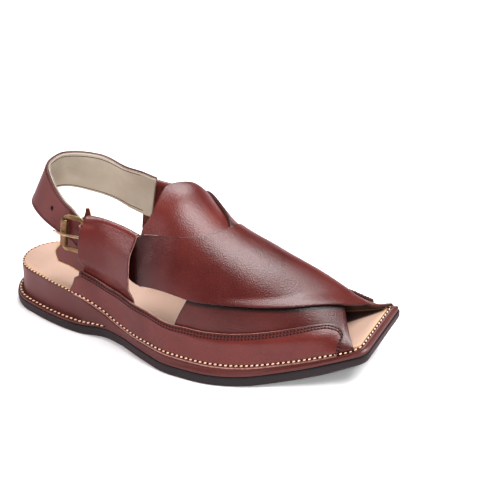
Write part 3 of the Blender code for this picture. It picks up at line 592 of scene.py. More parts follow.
# ---------------------------------------------------------------------------------------------- bands
# Two wide bands of the same leather that cross over the forefoot. Each starts in its loop beside the
# instep and ends under the opposite side panel; the lateral one lies on top and runs out to the toe.
LAST_COLUMNS = ("x", "ridge_y", "ridge_z", "lateral_full", "medial_full", "foot_in")
LAST_ROWS = (
    (70.0, 2.0, 122.0, 2.2, 2.2, 8.0),
    (120.0, 2.0, 121.0, 2.25, 2.2, 8.0),
    (130.0, 2.0, 118.5, 2.25, 2.2, 8.0),
    (143.0, 2.3, 114.3, 2.25, 2.25, 8.0),
    (152.0, 2.5, 112.0, 2.2, 2.2, 8.0),
    (165.0, 1.0, 104.3, 2.15, 1.95, 8.0),
    (180.0, -0.5, 93.0, 2.1, 1.72, 8.0),
    (210.0, 4.0, 76.2, 2.1, 1.72, 8.0),
    (240.0, 13.0, 57.6, 2.1, 1.97, 8.0),
    (255.0, 17.5, 46.8, 2.15, 1.93, 8.0),
    (272.0, 26.0, 34.0, 2.2, 1.8, 6.6),
    (289.0, 33.0, 31.5, 2.2, 1.8, 5.6),
)
MEDIAL_LIFT, MEDIAL_BULGE, MEDIAL_FROM, MEDIAL_TO = 8.0, 8.0, 135.0, 178.0
# Edges of the bands as (x, s): s is -1 at the lateral foot, 0 on the ridge and 1 at the medial foot.
BAND_REAR = ((114.0, -0.565), (128.6, -0.545), (131.6, -0.498), (137.0, -0.467), (148.5, -0.423),
             (157.0, -0.383), (168.0, -0.29), (175.0, -0.194), (180.0, -0.085), (182.5, 0.03),
             (182.0, 0.25), (177.0, 0.50), (169.0, 0.70), (161.0, 0.86), (157.0, 0.985))
BAND_FRONT = ((114.0, -0.75), (128.0, -0.765), (143.0, -0.735), (158.0, -0.70), (170.0, -0.677),
              (187.0, -0.619), (200.0, -0.581), (210.0, -0.553), (220.0, -0.518), (230.0, -0.474),
              (238.0, -0.42), (247.0, -0.327), (258.0, -0.182), (267.0, -0.04), (274.0, 0.15),
              (279.5, 0.42), (283.0, 0.70), (284.5, 0.985))
MEDIAL_BAND_SHORTER = (15.0, 9.0)   # past the ridge and at the foot
BAND_THICK, BAND_SKIVED, CROSSING_RISE, LIP_LIFT = 2.0, 1.3, 1.1, 1.8
BAND_STEPS = 110, 40
BAND_CREASES = (
    # from (x, s), to (x, s), half width, depth
    ((134.0, -0.50), (137.0, -0.61), 6.0, 0.8),
    ((150.0, -0.50), (196.0, -0.52), 6.0, 0.35),
    ((176.0, -0.30), (214.0, -0.40), 7.0, -0.30),
    ((222.0, -0.30), (246.0, -0.16), 6.0, 0.30),
    ((190.0, 0.02), (206.0, 0.10), 5.0, 0.35),
)
S_LIMIT, S_STEP = 0.985, 0.012   # slopes are read a short way to each side, and not at the very feet
EDGE_S_IN_MM, CREASE_S_IN_MM = 70.0, 60.0   # about how far one of s is round the last
LOOP_FRONT_X = 128.0
MEDIAL_LOOP_FORWARD = 14.5   # the medial loop sits this much further forward than the lateral one


def fibrous(name, grain, tones, roughness=0.7, relief=None, shine=0.5):
    """Raw leather or thread: one grain of (scale, detail, roughness) runs through its tones."""
    stuff = Finish(name)
    fibres = stuff.noise(*grain)
    rough = stuff.ramp(fibres, *roughness) if isinstance(roughness, tuple) else roughness
    return stuff.done(stuff.ramp(fibres, *tones), rough, relief and (fibres, *relief), shine)


flesh_side = fibrous("brown_flesh_side", (700.0, 5.0, 0.7), (
    (0.3, (0.060, 0.022, 0.016)), (0.7, (0.105, 0.040, 0.028))), 0.85, (0.4, 0.0003))
cut_edge = fibrous("dyed_cut_edge", (420.0, 4.0, 0.7), (
    (0.30, (0.14, 0.050, 0.040)), (0.55, (0.32, 0.150, 0.120)), (0.80, (0.46, 0.26, 0.21))), 0.7, (0.4, 0.0002))
# A dark cut edge; in the strap's buckle hole it is painted shade.
dark_edge_and_hole_shade = fibrous("burnished_edge_and_hole_shade", (420.0, 4.0, 0.7), (
    (0.30, (0.022, 0.006, 0.005)), (0.75, (0.060, 0.016, 0.012))), ((0.30, 0.45), (0.75, 0.60)), shine=0.3)
pale_edge = fibrous("pale_cut_edge", (900.0, 3.0), ((0.3, (0.62, 0.36, 0.28)), (0.7, (0.92, 0.68, 0.58))))
# The lateral band is painted darker towards the front edge of its loop, as the loop's shade on it.
band_leather = leather_finish("band_leather", (0.047, 0.0058, 0.0048), (0.080, 0.0100, 0.0070),
                              lap_shade=(26.0, 0.22, 0.12))
# The medial band's leather is a darker copy, painted as shade where it lies under the lateral band, and darker
# still along that band's front edge as painted shadow.
shaded_lapped_leather = leather_finish("shaded_lapped_leather", (0.038, 0.0062, 0.0055), (0.066, 0.0110, 0.0085),
                                lap_shade=(4.0, 0.08, 0.45))


def last(x, name):
    return through(LAST_ROWS, x, LAST_COLUMNS.index(name))


@functools.lru_cache(maxsize=4096)
def section_at(x):
    """The last's cross section: ridge y and z, foot height, and for each side its foot y and fullness."""
    sides = {side: (edge_y(min(x, TOE_CORNER[side].x), side) - side * last(x, "foot_in"),
                    2.0 / last(x, "lateral_full" if side < 0 else "medial_full")) for side in (-1, 1)}
    return (last(x, "ridge_y"), last(x, "ridge_z"), rim(x) + GAP + 0.5 * between(255.0, 275.0, x), sides,
            1.0 - between(MEDIAL_FROM, MEDIAL_TO, x))


def last_point(x, s):
    """A point of the last: s is -1 at its lateral foot, 0 on the ridge and 1 at its medial foot."""
    side = -1 if s < 0.0 else 1
    reach = min(abs(s), 1.0)
    ridge, top, base, sides, near_loop = section_at(x)
    foot, full = sides[side]
    angle = (1.0 - reach) * math.pi / 2.0
    y = ridge + (foot - ridge) * math.cos(angle) ** full
    z = base + (top - base) * math.sin(angle) ** full
    if side > 0:
        y += MEDIAL_BULGE * math.sin(math.pi * reach) * near_loop
        z += MEDIAL_LIFT * math.sin(math.pi * reach) ** 2 * near_loop
    return Vector((x, y, z))


def outward(x, s):
    """The direction that faces out of the last, read a little inside its feet."""
    s = max(-S_LIMIT, min(S_LIMIT, s))
    along = last_point(x + 1.0, s) - last_point(x - 1.0, s)
    return along.cross(last_point(x, s + S_STEP) - last_point(x, s - S_STEP)).normalized()


def on_last(x, s, off):
    """A point that stands off the last, outwards."""
    return last_point(x, s) + outward(x, s) * off


@functools.lru_cache(maxsize=None)
def measured(rows):
    """Rows of (x, s) with the distance along them, in millimetres, put in front."""
    lengths = [0.0]
    for a, b in zip(rows, rows[1:]):
        lengths.append(lengths[-1] + math.hypot(b[0] - a[0], EDGE_S_IN_MM * (b[1] - a[1])))
    return tuple((d, *row) for d, row in zip(lengths, rows))


def along_rows(rows, t):
    """A smooth curve through rows of (x, s), with t from 0 to 1 counted by distance."""
    rows = measured(rows)
    return through(rows, t * rows[-1][0], 1), through(rows, t * rows[-1][0], 2)


def hide_piece(name, rows, columns, grain, flesh, materials, round_by=0.55, hole=None):
    """A piece of leather between its grain face and its flesh face, with a rounded cut edge; a fourth
    material goes on the cut edge at v = 1 and in the hole."""
    bm = bmesh.new()
    outer, outer_net = mapped_grid(bm, rows, columns, grain, 0)
    inner, inner_net = mapped_grid(bm, rows, columns, flesh, 1)
    far = {net[i, columns] for net in (outer_net, inner_net) for i in range(rows + 1)}
    for face in bmesh.ops.bridge_loops(bm, edges=outer + inner)["faces"]:
        face.material_index = 3 if len(materials) > 3 and all(v in far for v in face.verts) else 2
    if hole:
        i, j, radius = round(hole[0] * rows), round(hole[1] * columns), hole[2] * MM
        rims = []
        for net in (outer_net, inner_net):
            centre = net[i, j].co.copy()
            ring = [net[i + di, j + dj] for di in (-1, 0, 1) for dj in (-1, 0, 1) if di or dj]
            for vertex in ring:
                vertex.co = centre + (vertex.co - centre).normalized() * radius
            rims += [e for face in net[i, j].link_faces for e in face.edges if net[i, j] not in e.verts]
            bmesh.ops.delete(bm, geom=[net[i, j]], context="VERTS")
        for face in bmesh.ops.bridge_loops(bm, edges=[e for e in rims if e.is_valid])["faces"]:
            face.material_index = len(materials) - 1
    bmesh.ops.recalc_face_normals(bm, faces=bm.faces)
    if bm.calc_volume(signed=True) < 0.0:
        bmesh.ops.reverse_faces(bm, faces=bm.faces)
    for edges, material_index in ((outer, 0), (inner, 1)):
        bmesh.ops.bevel(bm, geom=edges, offset=round_by * MM, segments=2, profile=0.5,
                        affect="EDGES", material=material_index, clamp_overlap=True)
    return put(name, bm, *materials, smooth_to=60.0)


def band_sheet(side, off, shorter):
    """One face of a band: u runs from its loop to the far foot, v from its rear to its front edge."""
    def lay(u, v):
        x, s = [part_way(ends, v) for ends in zip(along_rows(BAND_REAR, u), along_rows(BAND_FRONT, u))]
        x -= v * (shorter[0] * between(0.42, 0.72, u) - (shorter[0] - shorter[1]) * between(0.74, 1.0, u))
        if side > 0:
            near_loop = 1.0 - between(0.0, 0.3, u)
            x += MEDIAL_LOOP_FORWARD * near_loop
            s -= 0.085 * (1.0 - v) * near_loop
        return on_last(x, s * -side, off(x, s, v))
    return lay


def band_thickness(x, s):
    """Thinned where the loop holds the band, and at the far foot, where it is sewn down."""
    return part_way((BAND_SKIVED, BAND_THICK), between(114.0, 126.0, x)) - 0.7 * between(0.88, 0.97, s)


UNDER_EDGE = tuple((row[0], -row[1]) for row in BAND_FRONT if row[1] < 0.0)


def crossing(x, s):
    """How far the lateral band rides up over the medial one."""
    edge = through(UNDER_EDGE, x)
    return CROSSING_RISE * between(146.0, 162.0, x) * (1.0 - between(edge, edge + 0.16, s))


def lip(x, v):
    """The free front edge of the lateral band stands off the other one, and over the toe opening."""
    return LIP_LIFT * between(0.84, 1.0, v) * between(172.0, 205.0, x) * (1.0 - between(262.0, 276.0, x))


def creases(x, s):
    """Soft folds of the lateral band, as a depth: beside the loop, along the side and behind the toe."""
    depth = 0.0
    for (x_a, s_a), (x_b, s_b), wide, deep in BAND_CREASES:
        along_x, along_s = x_b - x_a, (s_b - s_a) * CREASE_S_IN_MM
        off_x, off_s = x - x_a, (s - s_a) * CREASE_S_IN_MM
        t = (off_x * along_x + off_s * along_s) / (along_x ** 2 + along_s ** 2)
        apart = math.hypot(off_x - t * along_x, off_s - t * along_s)
        depth += deep * math.exp(-(apart / wide) ** 2) * between(-0.3, 0.3, t) * (1.0 - between(0.7, 1.3, t))
    return depth


def paint_shade_beside(piece, line):
    """Keeps each vertex's distance from the line of points, in mm, for the painted shade beside a lapping
    piece.
    """
    spots = [at(point) for point in line]
    lap_shade = piece.data.attributes.new("lap_shade_mm", "FLOAT", "POINT")
    for vertex, value in zip(piece.data.vertices, lap_shade.data):
        value.value = min((vertex.co - spot).length for spot in spots) / MM


def upper_flesh(x, s, v):
    """How far the lateral band's flesh side stands off the last."""
    return crossing(x, s) + lip(x, v) - creases(x, s)


lateral_band = hide_piece(
    "lateral_band", *BAND_STEPS,
    band_sheet(-1, lambda x, s, v: upper_flesh(x, s, v) + band_thickness(x, s), (0.0, 0.0)),
    band_sheet(-1, upper_flesh, (0.0, 0.0)), (band_leather, flesh_side, pale_edge, dark_edge_and_hole_shade), 0.35)
medial_band = hide_piece(
    "medial_band", *BAND_STEPS,
    band_sheet(1, lambda x, s, v: band_thickness(x, s), MEDIAL_BAND_SHORTER),
    band_sheet(1, lambda x, s, v: 0.0, MEDIAL_BAND_SHORTER), (shaded_lapped_leather, flesh_side, dark_edge_and_hole_shade), 0.35)
# Painted shade: distances from the lateral loop's front edge, and on the medial band from the lateral band's
# front edge.
paint_shade_beside(lateral_band, [on_last(LOOP_FRONT_X, -0.48 - 0.02 * n, 4.0) for n in range(18)])
paint_shade_beside(medial_band, [on_last(x, through(BAND_FRONT, x), 1.5) for x in range(150, 272)])
for band in (lateral_band, medial_band):
    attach(band, "root")
    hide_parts("upper")


# --------------------------------------------------------------------------------------------- tongue
# A rounded tongue under both bands that covers the instep; only its rear stands above the throat. It
# is one thickness of smooth leather with a clean cut edge.
TONGUE_THICK, TONGUE_OFF = 2.0, -0.5
TONGUE_EDGE = ((130.0, -0.53), (130.6, -0.469), (133.3, -0.405), (135.2, -0.351), (136.5, -0.26),
               (137.1, -0.154), (137.0, -0.072), (137.6, -0.002), (139.0, 0.05), (141.5, 0.12),
               (145.0, 0.24), (147.5, 0.40), (145.0, 0.55))
TONGUE_FRONT, TONGUE_FRONT_S = 205.0, 0.22


def tongue_sheet(off):
    """One face of the tongue: u runs from its rounded rear edge to its front under the bands."""
    def lay(u, v):
        front = TONGUE_FRONT, TONGUE_FRONT_S * (2.0 * v - 1.0)
        return on_last(*[part_way(ends, u) for ends in zip(along_rows(TONGUE_EDGE, v), front)], off)
    return lay


tongue = hide_piece("tongue_leather", 60, 60, tongue_sheet(TONGUE_OFF), tongue_sheet(TONGUE_OFF - TONGUE_THICK),
                    (red_brown, flesh_side, cut_edge), 0.7)
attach(tongue, "root")
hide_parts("tongue")


# --------------------------------------------------------------------------------------- side panels
# One long panel a side, of the same leather. It takes the far end of the opposite band and the feet of
# its loop, and its lower edge is turned out over the rand, where the welt thread holds it.
PANEL_TOP = ((79.5, 0.855), (97.0, 0.863), (117.0, 0.852), (144.0, 0.853), (161.0, 0.846), (172.0, 0.823),
             (186.0, 0.798), (202.0, 0.768), (217.0, 0.728), (232.0, 0.668), (241.0, 0.612), (250.0, 0.537),
             (256.0, 0.49), (260.5, 0.487), (263.5, 0.525), (266.0, 0.62))
PANEL_THICK, PANEL_OFF, PANEL_OVER_LOOP, PANEL_BEND = 2.0, 2.4, 3.6, 0.90
PANEL_REAR_SLANT, PANEL_PRESSED, MEDIAL_REAR_LOWER = 12.5, 0.7, 0.05
PANEL_KNEE = 0.5             # v where the panel starts to bend out over the rand
LOOP_FOOT_FRONT = {-1: 126.5, 1: 138.0}
SIDES = ((-1, "lateral"), (1, "medial"))


def panel_x(side, u):
    """x and s of a panel's cut top edge, as if it were on the lateral side."""
    x, top = along_rows(PANEL_TOP, u)
    if side > 0:
        x += 4.5 * between(0.6, 1.0, u)
        top += MEDIAL_REAR_LOWER * (1.0 - between(100.0, 125.0, x))
    return x, top


def panel_flat(side, x, depth):
    """The stitched edge of a panel, lying on the rand."""
    inside = sole(x, "rand_in") + 0.9
    return Vector((x, edge_y(x, side) - side * inside, rim(x) + 0.1 + depth * PANEL_PRESSED))


def panel_skive(v):
    """The top edge is thinned where the twin rows hold it down."""
    return 0.55 + 0.45 * between(0.0, 0.16, v)


def panel_swell(x, v):
    """A soft ridge under the twin rows and a trough below it, where the panel is bent out over the rand."""
    forward = between(140.0, 185.0, x) * (1.0 - between(252.0, 262.0, x))
    return 0.9 * forward * between(0.10, 0.24, v) * (1.0 - between(0.24, 0.46, v))


def panel_sheet(side, depth):
    """A side panel: u runs forward along it and v from its cut top edge down to the stitched edge."""
    def lay(u, v):
        x, top = panel_x(side, u)
        x -= PANEL_REAR_SLANT * between(0.2, 1.0, v) * (1.0 - between(0.0, 0.14, u))
        clear = between(LOOP_FOOT_FRONT[side] + 2.0, LOOP_FOOT_FRONT[side] + 18.0, x)
        off = part_way((PANEL_OVER_LOOP, PANEL_OFF), clear)
        off += 0.2 + 0.35 * between(215.0, 240.0, x) + depth * panel_skive(v)
        off += panel_swell(x, v) * depth / PANEL_THICK
        bend = max(PANEL_BEND, top + 0.02)
        flat = panel_flat(side, x, depth)
        if v < PANEL_KNEE:
            return on_last(x, part_way((top, bend), v / PANEL_KNEE) * side, off)
        knee = on_last(x, bend * side, off)
        middle = Vector((x, part_way((knee.y, flat.y), 0.28), flat.z + 0.6))
        t = (v - PANEL_KNEE) / (1.0 - PANEL_KNEE)
        return knee.lerp(middle, t).lerp(middle.lerp(flat, t), t)
    return lay


for side, name in SIDES:
    panel = hide_piece(f"side_panel_leather_{name}", 130, 28, panel_sheet(side, PANEL_THICK),
                       panel_sheet(side, 0.0), (red_brown, flesh_side, cut_edge if side < 0 else dark_edge_and_hole_shade))
    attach(panel, "root")
    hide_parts(f"side_panel_{name}")


# ---------------------------------------------------------------------------------------------- loops
# A folded keeper each side of the instep, of one strip turned over at the top. Its feet go under the
# side panel; the rear edge of the lateral one stands out over the buckle's chape.
LOOP_FOOT, LOOP_INNER, LOOP_THICK, LOOP_FOOT_OFF = 0.985, 0.80, 1.8, 1.3
LOOP_SIDES = {
    # s of the fold, and x of top and foot, each at the rear and front edge; how far the plies stand off
    -1: {"fold": (0.572, 0.540), "top": (84.5, 128.5), "foot": (80.0, 126.5), "outer": 3.15, "inner": -3.95},
    1: {"fold": (0.53, 0.53), "top": (103.0, 142.0), "foot": (92.0, 138.0), "outer": 2.4, "inner": -0.4},
}
LOOP_BULGE, BULGE_FROM, BULGE_TO = 5.9, 82.0, 106.0
LOOP_TOP_THINNER, FRONT_STANDS_OFF = {-1: (2.3, 1.0), 1: (0.4, 0.0)}, 2.6
FOLD_FROM, FOLD_TO = 0.55, 0.72   # v where the outer ply ends and the inner one starts


def loop_sheet(side, thick):
    """A loop: u runs forward, v goes up the outer ply, over the fold and down the inner ply."""
    sizes = LOOP_SIDES[side]
    high, low = sizes["outer"] - LOOP_TOP_THINNER[side][0], sizes["inner"] + LOOP_TOP_THINNER[side][1]
    radius, middle = (high - low) / 2.0, (high + low) / 2.0

    def bulge(x, s):
        over_chape = between(0.53, 0.60, s) * (1.0 - between(0.755, 0.85, s))
        return LOOP_BULGE * over_chape * (1.0 - between(BULGE_FROM, BULGE_TO, x)) if side < 0 else 0.0

    def drawn_in(s, fold):
        return (1.0 - min(1.0, (s - fold) / 0.12)) ** 2

    def lay(u, v):
        fold, x_top, x_foot = [part_way(sizes[key], u) for key in ("fold", "top", "foot")]

        def x_of(s):
            return part_way((x_foot, x_top), (LOOP_FOOT - s) / (LOOP_FOOT - fold))
        if v < FOLD_FROM:
            s = part_way((LOOP_FOOT, fold), v / FOLD_FROM)
            lift = 1.0 - between(0.78, 0.86, s)
            off = part_way((LOOP_FOOT_OFF, sizes["outer"]), lift)
            off -= LOOP_TOP_THINNER[side][0] * drawn_in(s, fold)
            off += FRONT_STANDS_OFF * u ** 4 * lift * between(fold, fold + 0.10, s)
            return on_last(x_of(s), s * side, off + bulge(x_of(s), s) + thick)
        if v > FOLD_TO:
            s = part_way((fold, LOOP_INNER), (v - FOLD_TO) / (1.0 - FOLD_TO))
            off = sizes["inner"] + LOOP_TOP_THINNER[side][1] * drawn_in(s, fold)
            return on_last(x_of(s), s * side, off - thick)
        normal = outward(x_top, fold * side)
        centre = on_last(x_top, fold * side, middle)
        up = last_point(x_top, (fold - 0.02) * side) - last_point(x_top, fold * side)
        up = (up - normal * up.dot(normal)).normalized()
        angle = math.pi * (v - FOLD_FROM) / (FOLD_TO - FOLD_FROM)
        reach = radius + thick
        out = math.cos(angle) * reach + max(0.0, math.cos(angle)) * bulge(x_top, fold)
        return centre + normal * out + up * (math.sin(angle) * reach)
    return lay


for side, name in SIDES:
    loop = hide_piece(f"loop_leather_{name}", 30, 100, loop_sheet(side, LOOP_THICK), loop_sheet(side, 0.0),
                      (red_brown, flesh_side, cut_edge))
    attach(loop, "root")
    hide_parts(f"loop_{name}")


# ---------------------------------------------------------------------------------------- heel strap
# The strap behind the heel: red-brown leather outside and a pale, soft lining inside, sewn together
# along both edges. It is sewn into the medial loop and goes through the buckle on the lateral side.
STRAP_ROWS = (
    # x, y, z of the middle line, height, and how far the lower edge stands out behind the upper one
    (104.0, -25.5, 76.4, 24.0, 3.0),
    (88.0, -25.5, 80.2, 24.0, 3.0),
    (73.8, -26.0, 86.0, 24.0, 3.0),
    (58.2, -21.8, 92.0, 25.0, 8.1),
    (44.1, -13.7, 97.2, 27.5, 12.5),
    (32.9, -1.1, 100.3, 29.3, 15.6),
    (37.1, 15.6, 100.9, 32.6, 15.8),
    (53.5, 23.3, 99.2, 36.0, 10.6),
    (72.5, 25.9, 96.9, 36.1, 5.4),
    (94.9, 25.0, 92.7, 34.4, 1.0),
    (112.0, 23.6, 88.0, 31.4, -3.0),
)
STRAP_FACE, STRAP_SPLIT = 1.5, -0.25   # outer face, and the joint of leather and lining, from its middle
STRAP_HELD = {
    # x where each end comes to be held, how far it stands off the last, and s of its two edges
    -1: {"from": 72.0, "to": 86.0, "off": -0.4, "s": (0.80, 0.60)},
    1: {"from": 68.0, "to": 102.0, "off": -4.1, "s": (0.712, 0.435)},
}
STRAP_END_SLANT, STRAP_END_HIGHER = 9.0, 0.033   # the medial end: cut longer at its upper edge, and held higher
STRAP_HOLE = (0.281, 0.48, 1.8)   # u, v and radius
STRAP_STEPS = 240, 25
STRAP_LENGTHS = [0.0]
for a, b in zip(STRAP_ROWS, STRAP_ROWS[1:]):
    STRAP_LENGTHS.append(STRAP_LENGTHS[-1] + math.hypot(b[0] - a[0], b[1] - a[1]))
STRAP_CURVES = [tuple((d, row[k]) for d, row in zip(STRAP_LENGTHS, STRAP_ROWS)) for k in range(5)]
EASING = tuple((k * 0.022, math.comb(6, k + 3) / 64.0) for k in range(-3, 4))


@functools.lru_cache(maxsize=4096)
def strap_row(share):
    """The strap's row at a share of its length, eased over its neighbours so that it bends evenly."""
    reaches = [min(1.0, max(0.0, share + shift)) * STRAP_LENGTHS[-1] for shift, _ in EASING]
    return [sum(through(curve, reach) * weight for reach, (_, weight) in zip(reaches, EASING))
            for curve in STRAP_CURVES]


def strap_point(u, v, off):
    """A point of the strap: u from its lateral end, v from its lower edge, off outwards from its middle."""
    x, y, z, height, lean = strap_row(u)
    ahead, behind = strap_row(u + 0.01), strap_row(u - 0.01)
    along = Vector((ahead[0] - behind[0], ahead[1] - behind[1], 0.0)).normalized()
    out = Vector((-along.y, along.x, 0.0))
    across = Vector((0.0, 0.0, height)) - out * lean
    face = across.cross(along).normalized()
    face = face if face.dot(out) > 0.0 else -face
    free = Vector((x, y, z)) + across * (v - 0.5) + face * off
    side = -1 if y < 0.0 else 1
    hold = STRAP_HELD[side]
    held = between(hold["from"], hold["to"], x)
    if held == 0.0:
        return free
    s = part_way(hold["s"], v)
    if side > 0:
        s -= STRAP_END_HIGHER * v * (1.0 - between(100.0, 112.0, x))
        x += STRAP_END_SLANT * (v - 0.3) * between(92.0, 112.0, x)
    return free.lerp(on_last(x, s * side, hold["off"] + off), held)


cloth = Finish("pale_strap_lining")
clouds, pores = cloth.noise(40.0, 4.0), cloth.noise(650.0, 3.0, 0.65)
colour = cloth.ramp(clouds, (0.32, (0.38, 0.33, 0.255)), (0.68, (0.48, 0.44, 0.35)))
lining = cloth.done(cloth.mix(0.35, colour, cloth.ramp(pores, (0.3, 0.42), (0.7, 0.56)), "OVERLAY"),
                    cloth.ramp(pores, (0.2, 0.60), (0.8, 0.78)), (pores, 0.25, 0.00025))


def strap_sheet(off):
    """One face of the strap: u and v as in strap_point."""
    return lambda u, v: strap_point(u, v, off)


# The last material goes on the strap's top cut edge and lines the buckle hole, where its darkness is painted
# shade.
for name, faces, materials, round_by, finish in (
        ("strap_leather", (STRAP_FACE, STRAP_SPLIT), (red_brown, flesh_side, cut_edge, dark_edge_and_hole_shade), 0.45,
         "red_brown_leather"),
        ("strap_lining", (-STRAP_FACE, STRAP_SPLIT - 0.05), (lining, lining, lining, dark_edge_and_hole_shade), 0.35,
         "tan_leather")):
    grain, flesh = [strap_sheet(off) for off in faces]
    piece = hide_piece(name, *STRAP_STEPS, grain, flesh, materials, round_by, STRAP_HOLE)
    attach(piece, "root")
    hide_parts("heel_strap")


# --------------------------------------------------------------------------------------------- buckle
# A roller buckle of cast brass with an antique finish: a four-sided frame with rounded corners, a
# roller on its rear bar, and a prong hooked round its front bar that lies over the roller.
ROLLER_MIDDLE = Vector((70.6, -31.6, 82.3))
ROLLER_AXIS = Vector((0.113, 0.131, 0.985)).normalized()
FRAME_FORWARD = Vector((0.988, 0.10, -0.114)).normalized()
FRAME_LENGTH, FRAME_HALF_HEIGHT, FRAME_CORNER, WIRE = 13.6, 12.1, 2.4, 2.4
ARM_HALF_WIDTH, ARM_HALF_THICK = 1.85, 1.0
ROLLER_DIAMETER, ROLLER_BORE, ROLLER_LENGTH = 5.4, 3.3, 20.0
PRONG_DIAMETER, PRONG_REACH = 1.9, 8.0

metal = Finish("aged_brass")
patina, pits = metal.noise(160.0, 5.0, 0.65), metal.noise(900.0, 3.0)
tones = (0.30, (0.13, 0.090, 0.045)), (0.55, (0.36, 0.265, 0.135)), (0.80, (0.62, 0.49, 0.28))
brass = metal.done(metal.ramp(patina, *tones), metal.ramp(patina, (0.3, 0.52), (0.75, 0.30)),
                   (pits, 0.2, 0.0001), metal=1.0)


def buckle_point(forward, outward_by, up):
    """A point in the buckle's own directions, from the middle of its roller."""
    out = FRAME_FORWARD.cross(ROLLER_AXIS)
    return ROLLER_MIDDLE + FRAME_FORWARD * forward + out * outward_by + ROLLER_AXIS * up


def swept(name, path, section, closed, material, sides=16):
    """A wire along a path of points; section(i) gives its two half widths, first across the path's plane."""
    bm = bmesh.new()
    count = len(path)
    middle = sum(path, Vector()) / count
    rings = []
    for i, point in enumerate(path):
        before = path[i - 1] if closed or i else path[0]
        after = path[(i + 1) % count] if closed or i + 1 < count else path[-1]
        along = (after - before).normalized()
        first = (point - middle).cross(along).normalized()
        second = along.cross(first)
        made = bmesh.ops.create_circle(bm, segments=sides, radius=1.0)["verts"]
        wide, thick = section(i)
        for k, vertex in enumerate(made):
            angle = 2.0 * math.pi * k / sides
            vertex.co = at(point + first * math.cos(angle) * wide + second * math.sin(angle) * thick)
        rings.append(edges_of(bm, made))
    pairs = list(zip(rings, rings[1:])) + ([(rings[-1], rings[0])] if closed else [])
    for a, b in pairs:
        bmesh.ops.bridge_loops(bm, edges=a + b)
    if not closed:
        bmesh.ops.holes_fill(bm, edges=[e for e in bm.edges if e.is_boundary])
    bmesh.ops.recalc_face_normals(bm, faces=bm.faces)
    return put(name, bm, material)


frame_path, CORNER_STEPS = [], 9
for x, up, start in ((FRAME_CORNER, 1.0, 90.0), (FRAME_CORNER, -1.0, 180.0),
                     (FRAME_LENGTH - FRAME_CORNER, -1.0, 270.0), (FRAME_LENGTH - FRAME_CORNER, 1.0, 0.0)):
    z = up * (FRAME_HALF_HEIGHT - FRAME_CORNER)
    for k in range(CORNER_STEPS):
        angle = math.radians(start + 90.0 * k / (CORNER_STEPS - 1))
        forward, above = FRAME_CORNER * math.cos(angle), FRAME_CORNER * math.sin(angle)
        frame_path.append(buckle_point(x + forward, 0.0, z + above))


def frame_section(i):
    """Round on the two bars, and broad and flat on the two arms that join them."""
    corner, step = divmod(i, CORNER_STEPS)
    share = step / (CORNER_STEPS - 1)
    arm = between(0.0, 1.0, 1.0 - share if corner in (0, 2) else share)
    return part_way((WIRE / 2.0, ARM_HALF_THICK), arm), part_way((WIRE / 2.0, ARM_HALF_WIDTH), arm)


buckle_frame = swept("buckle_frame_cast", frame_path, frame_section, True, brass)

bm = bmesh.new()
half = ROLLER_LENGTH / 2.0
corners = ((ROLLER_BORE, 0.35 - half), (ROLLER_BORE + 0.3, -half), (ROLLER_DIAMETER - 0.5, -half),
           (ROLLER_DIAMETER, 0.3 - half), (ROLLER_DIAMETER, half - 0.3), (ROLLER_DIAMETER - 0.5, half),
           (ROLLER_BORE + 0.3, half), (ROLLER_BORE, half - 0.35))
section = bmesh.ops.create_circle(bm, segments=len(corners), radius=1.0)["verts"]
for vertex, (diameter, up) in zip(section, corners):
    vertex.co = at(buckle_point(diameter / 2.0, 0.0, up))
bmesh.ops.spin(bm, geom=list(bm.verts) + list(bm.edges), cent=at(ROLLER_MIDDLE), axis=ROLLER_AXIS,
               angle=math.tau, steps=40, use_merge=True)
bmesh.ops.recalc_face_normals(bm, faces=bm.faces)
buckle_roller = put("buckle_roller_tube", bm, brass)

hook, over = [bar / 2.0 + 0.25 + PRONG_DIAMETER / 2.0 for bar in (WIRE, ROLLER_DIAMETER)]
bends = [(FRAME_LENGTH + hook * math.cos(math.radians(a)), hook * math.sin(math.radians(a)))
         for a in range(-60, 76, 9)]
bends += [(FRAME_LENGTH * 0.62, over * 0.98), (4.6, over * 1.02), (2.0, over + 0.1), (0.0, over + 0.12),
          (-1.5, over + 0.1), (-3.3, over - 0.3), (-5.0, over - 0.9), (-6.6, over - 1.45),
          (-PRONG_REACH, over - 1.9)]
prong_path = [buckle_point(forward, lift, 0.0) for forward, lift in bends]


def prong_section(i):
    """Round, and slimmer over its last four steps."""
    from_tip = (len(prong_path) - 1 - i) / 4.0
    return (PRONG_DIAMETER / 2.0 * (0.45 + 0.55 * min(1.0, from_tip) ** 0.5),) * 2


metal = Finish("rubbed_brass")
patina = metal.noise(220.0, 4.0)
rubbed_brass = metal.done(metal.ramp(patina, (0.30, (0.42, 0.33, 0.19)), (0.70, (0.74, 0.62, 0.42))),
                          metal.ramp(patina, (0.3, 0.42), (0.7, 0.28)), metal=1.0)
buckle_prong = swept("buckle_prong_pin", prong_path, prong_section, False, rubbed_brass, 12)
for piece, node in ((buckle_frame, "buckle_frame"), (buckle_roller, "buckle_roller"),
                    (buckle_prong, "buckle_prong")):
    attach(piece, "root")
    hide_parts(node)


# -------------------------------------------------------------------------------- chape and underlay
# The chape is a thin strip from inside the lateral loop round the buckle's front bar and back, slotted
# for the prong. The underlay, between the buckle and the foot, has its raw side towards the foot.
CHAPE_THICK, CHAPE_HALF_HEIGHT, CHAPE_OFF, CHAPE_S = 1.1, 8.0, 2.1, (0.735, 0.62)
CHAPE_SLOT = (0.36, 0.93, 0.13)   # u from, u to, and half its share of the height
UNDERLAY_THICK, UNDERLAY_OFF, UNDERLAY_FOOT, UNDERLAY_FRONT = 1.3, -6.75, 0.92, 98.0
UNDERLAY_REAR = ((0.0, 51.0), (0.12, 49.0), (0.25, 54.0), (0.45, 64.0), (0.70, 73.0), (0.86, 78.3), (1.0, 79.5))
UNDERLAY_TOP = ((79.5, 0.512), (82.0, 0.507), (84.5, 0.58), (98.0, 0.64))


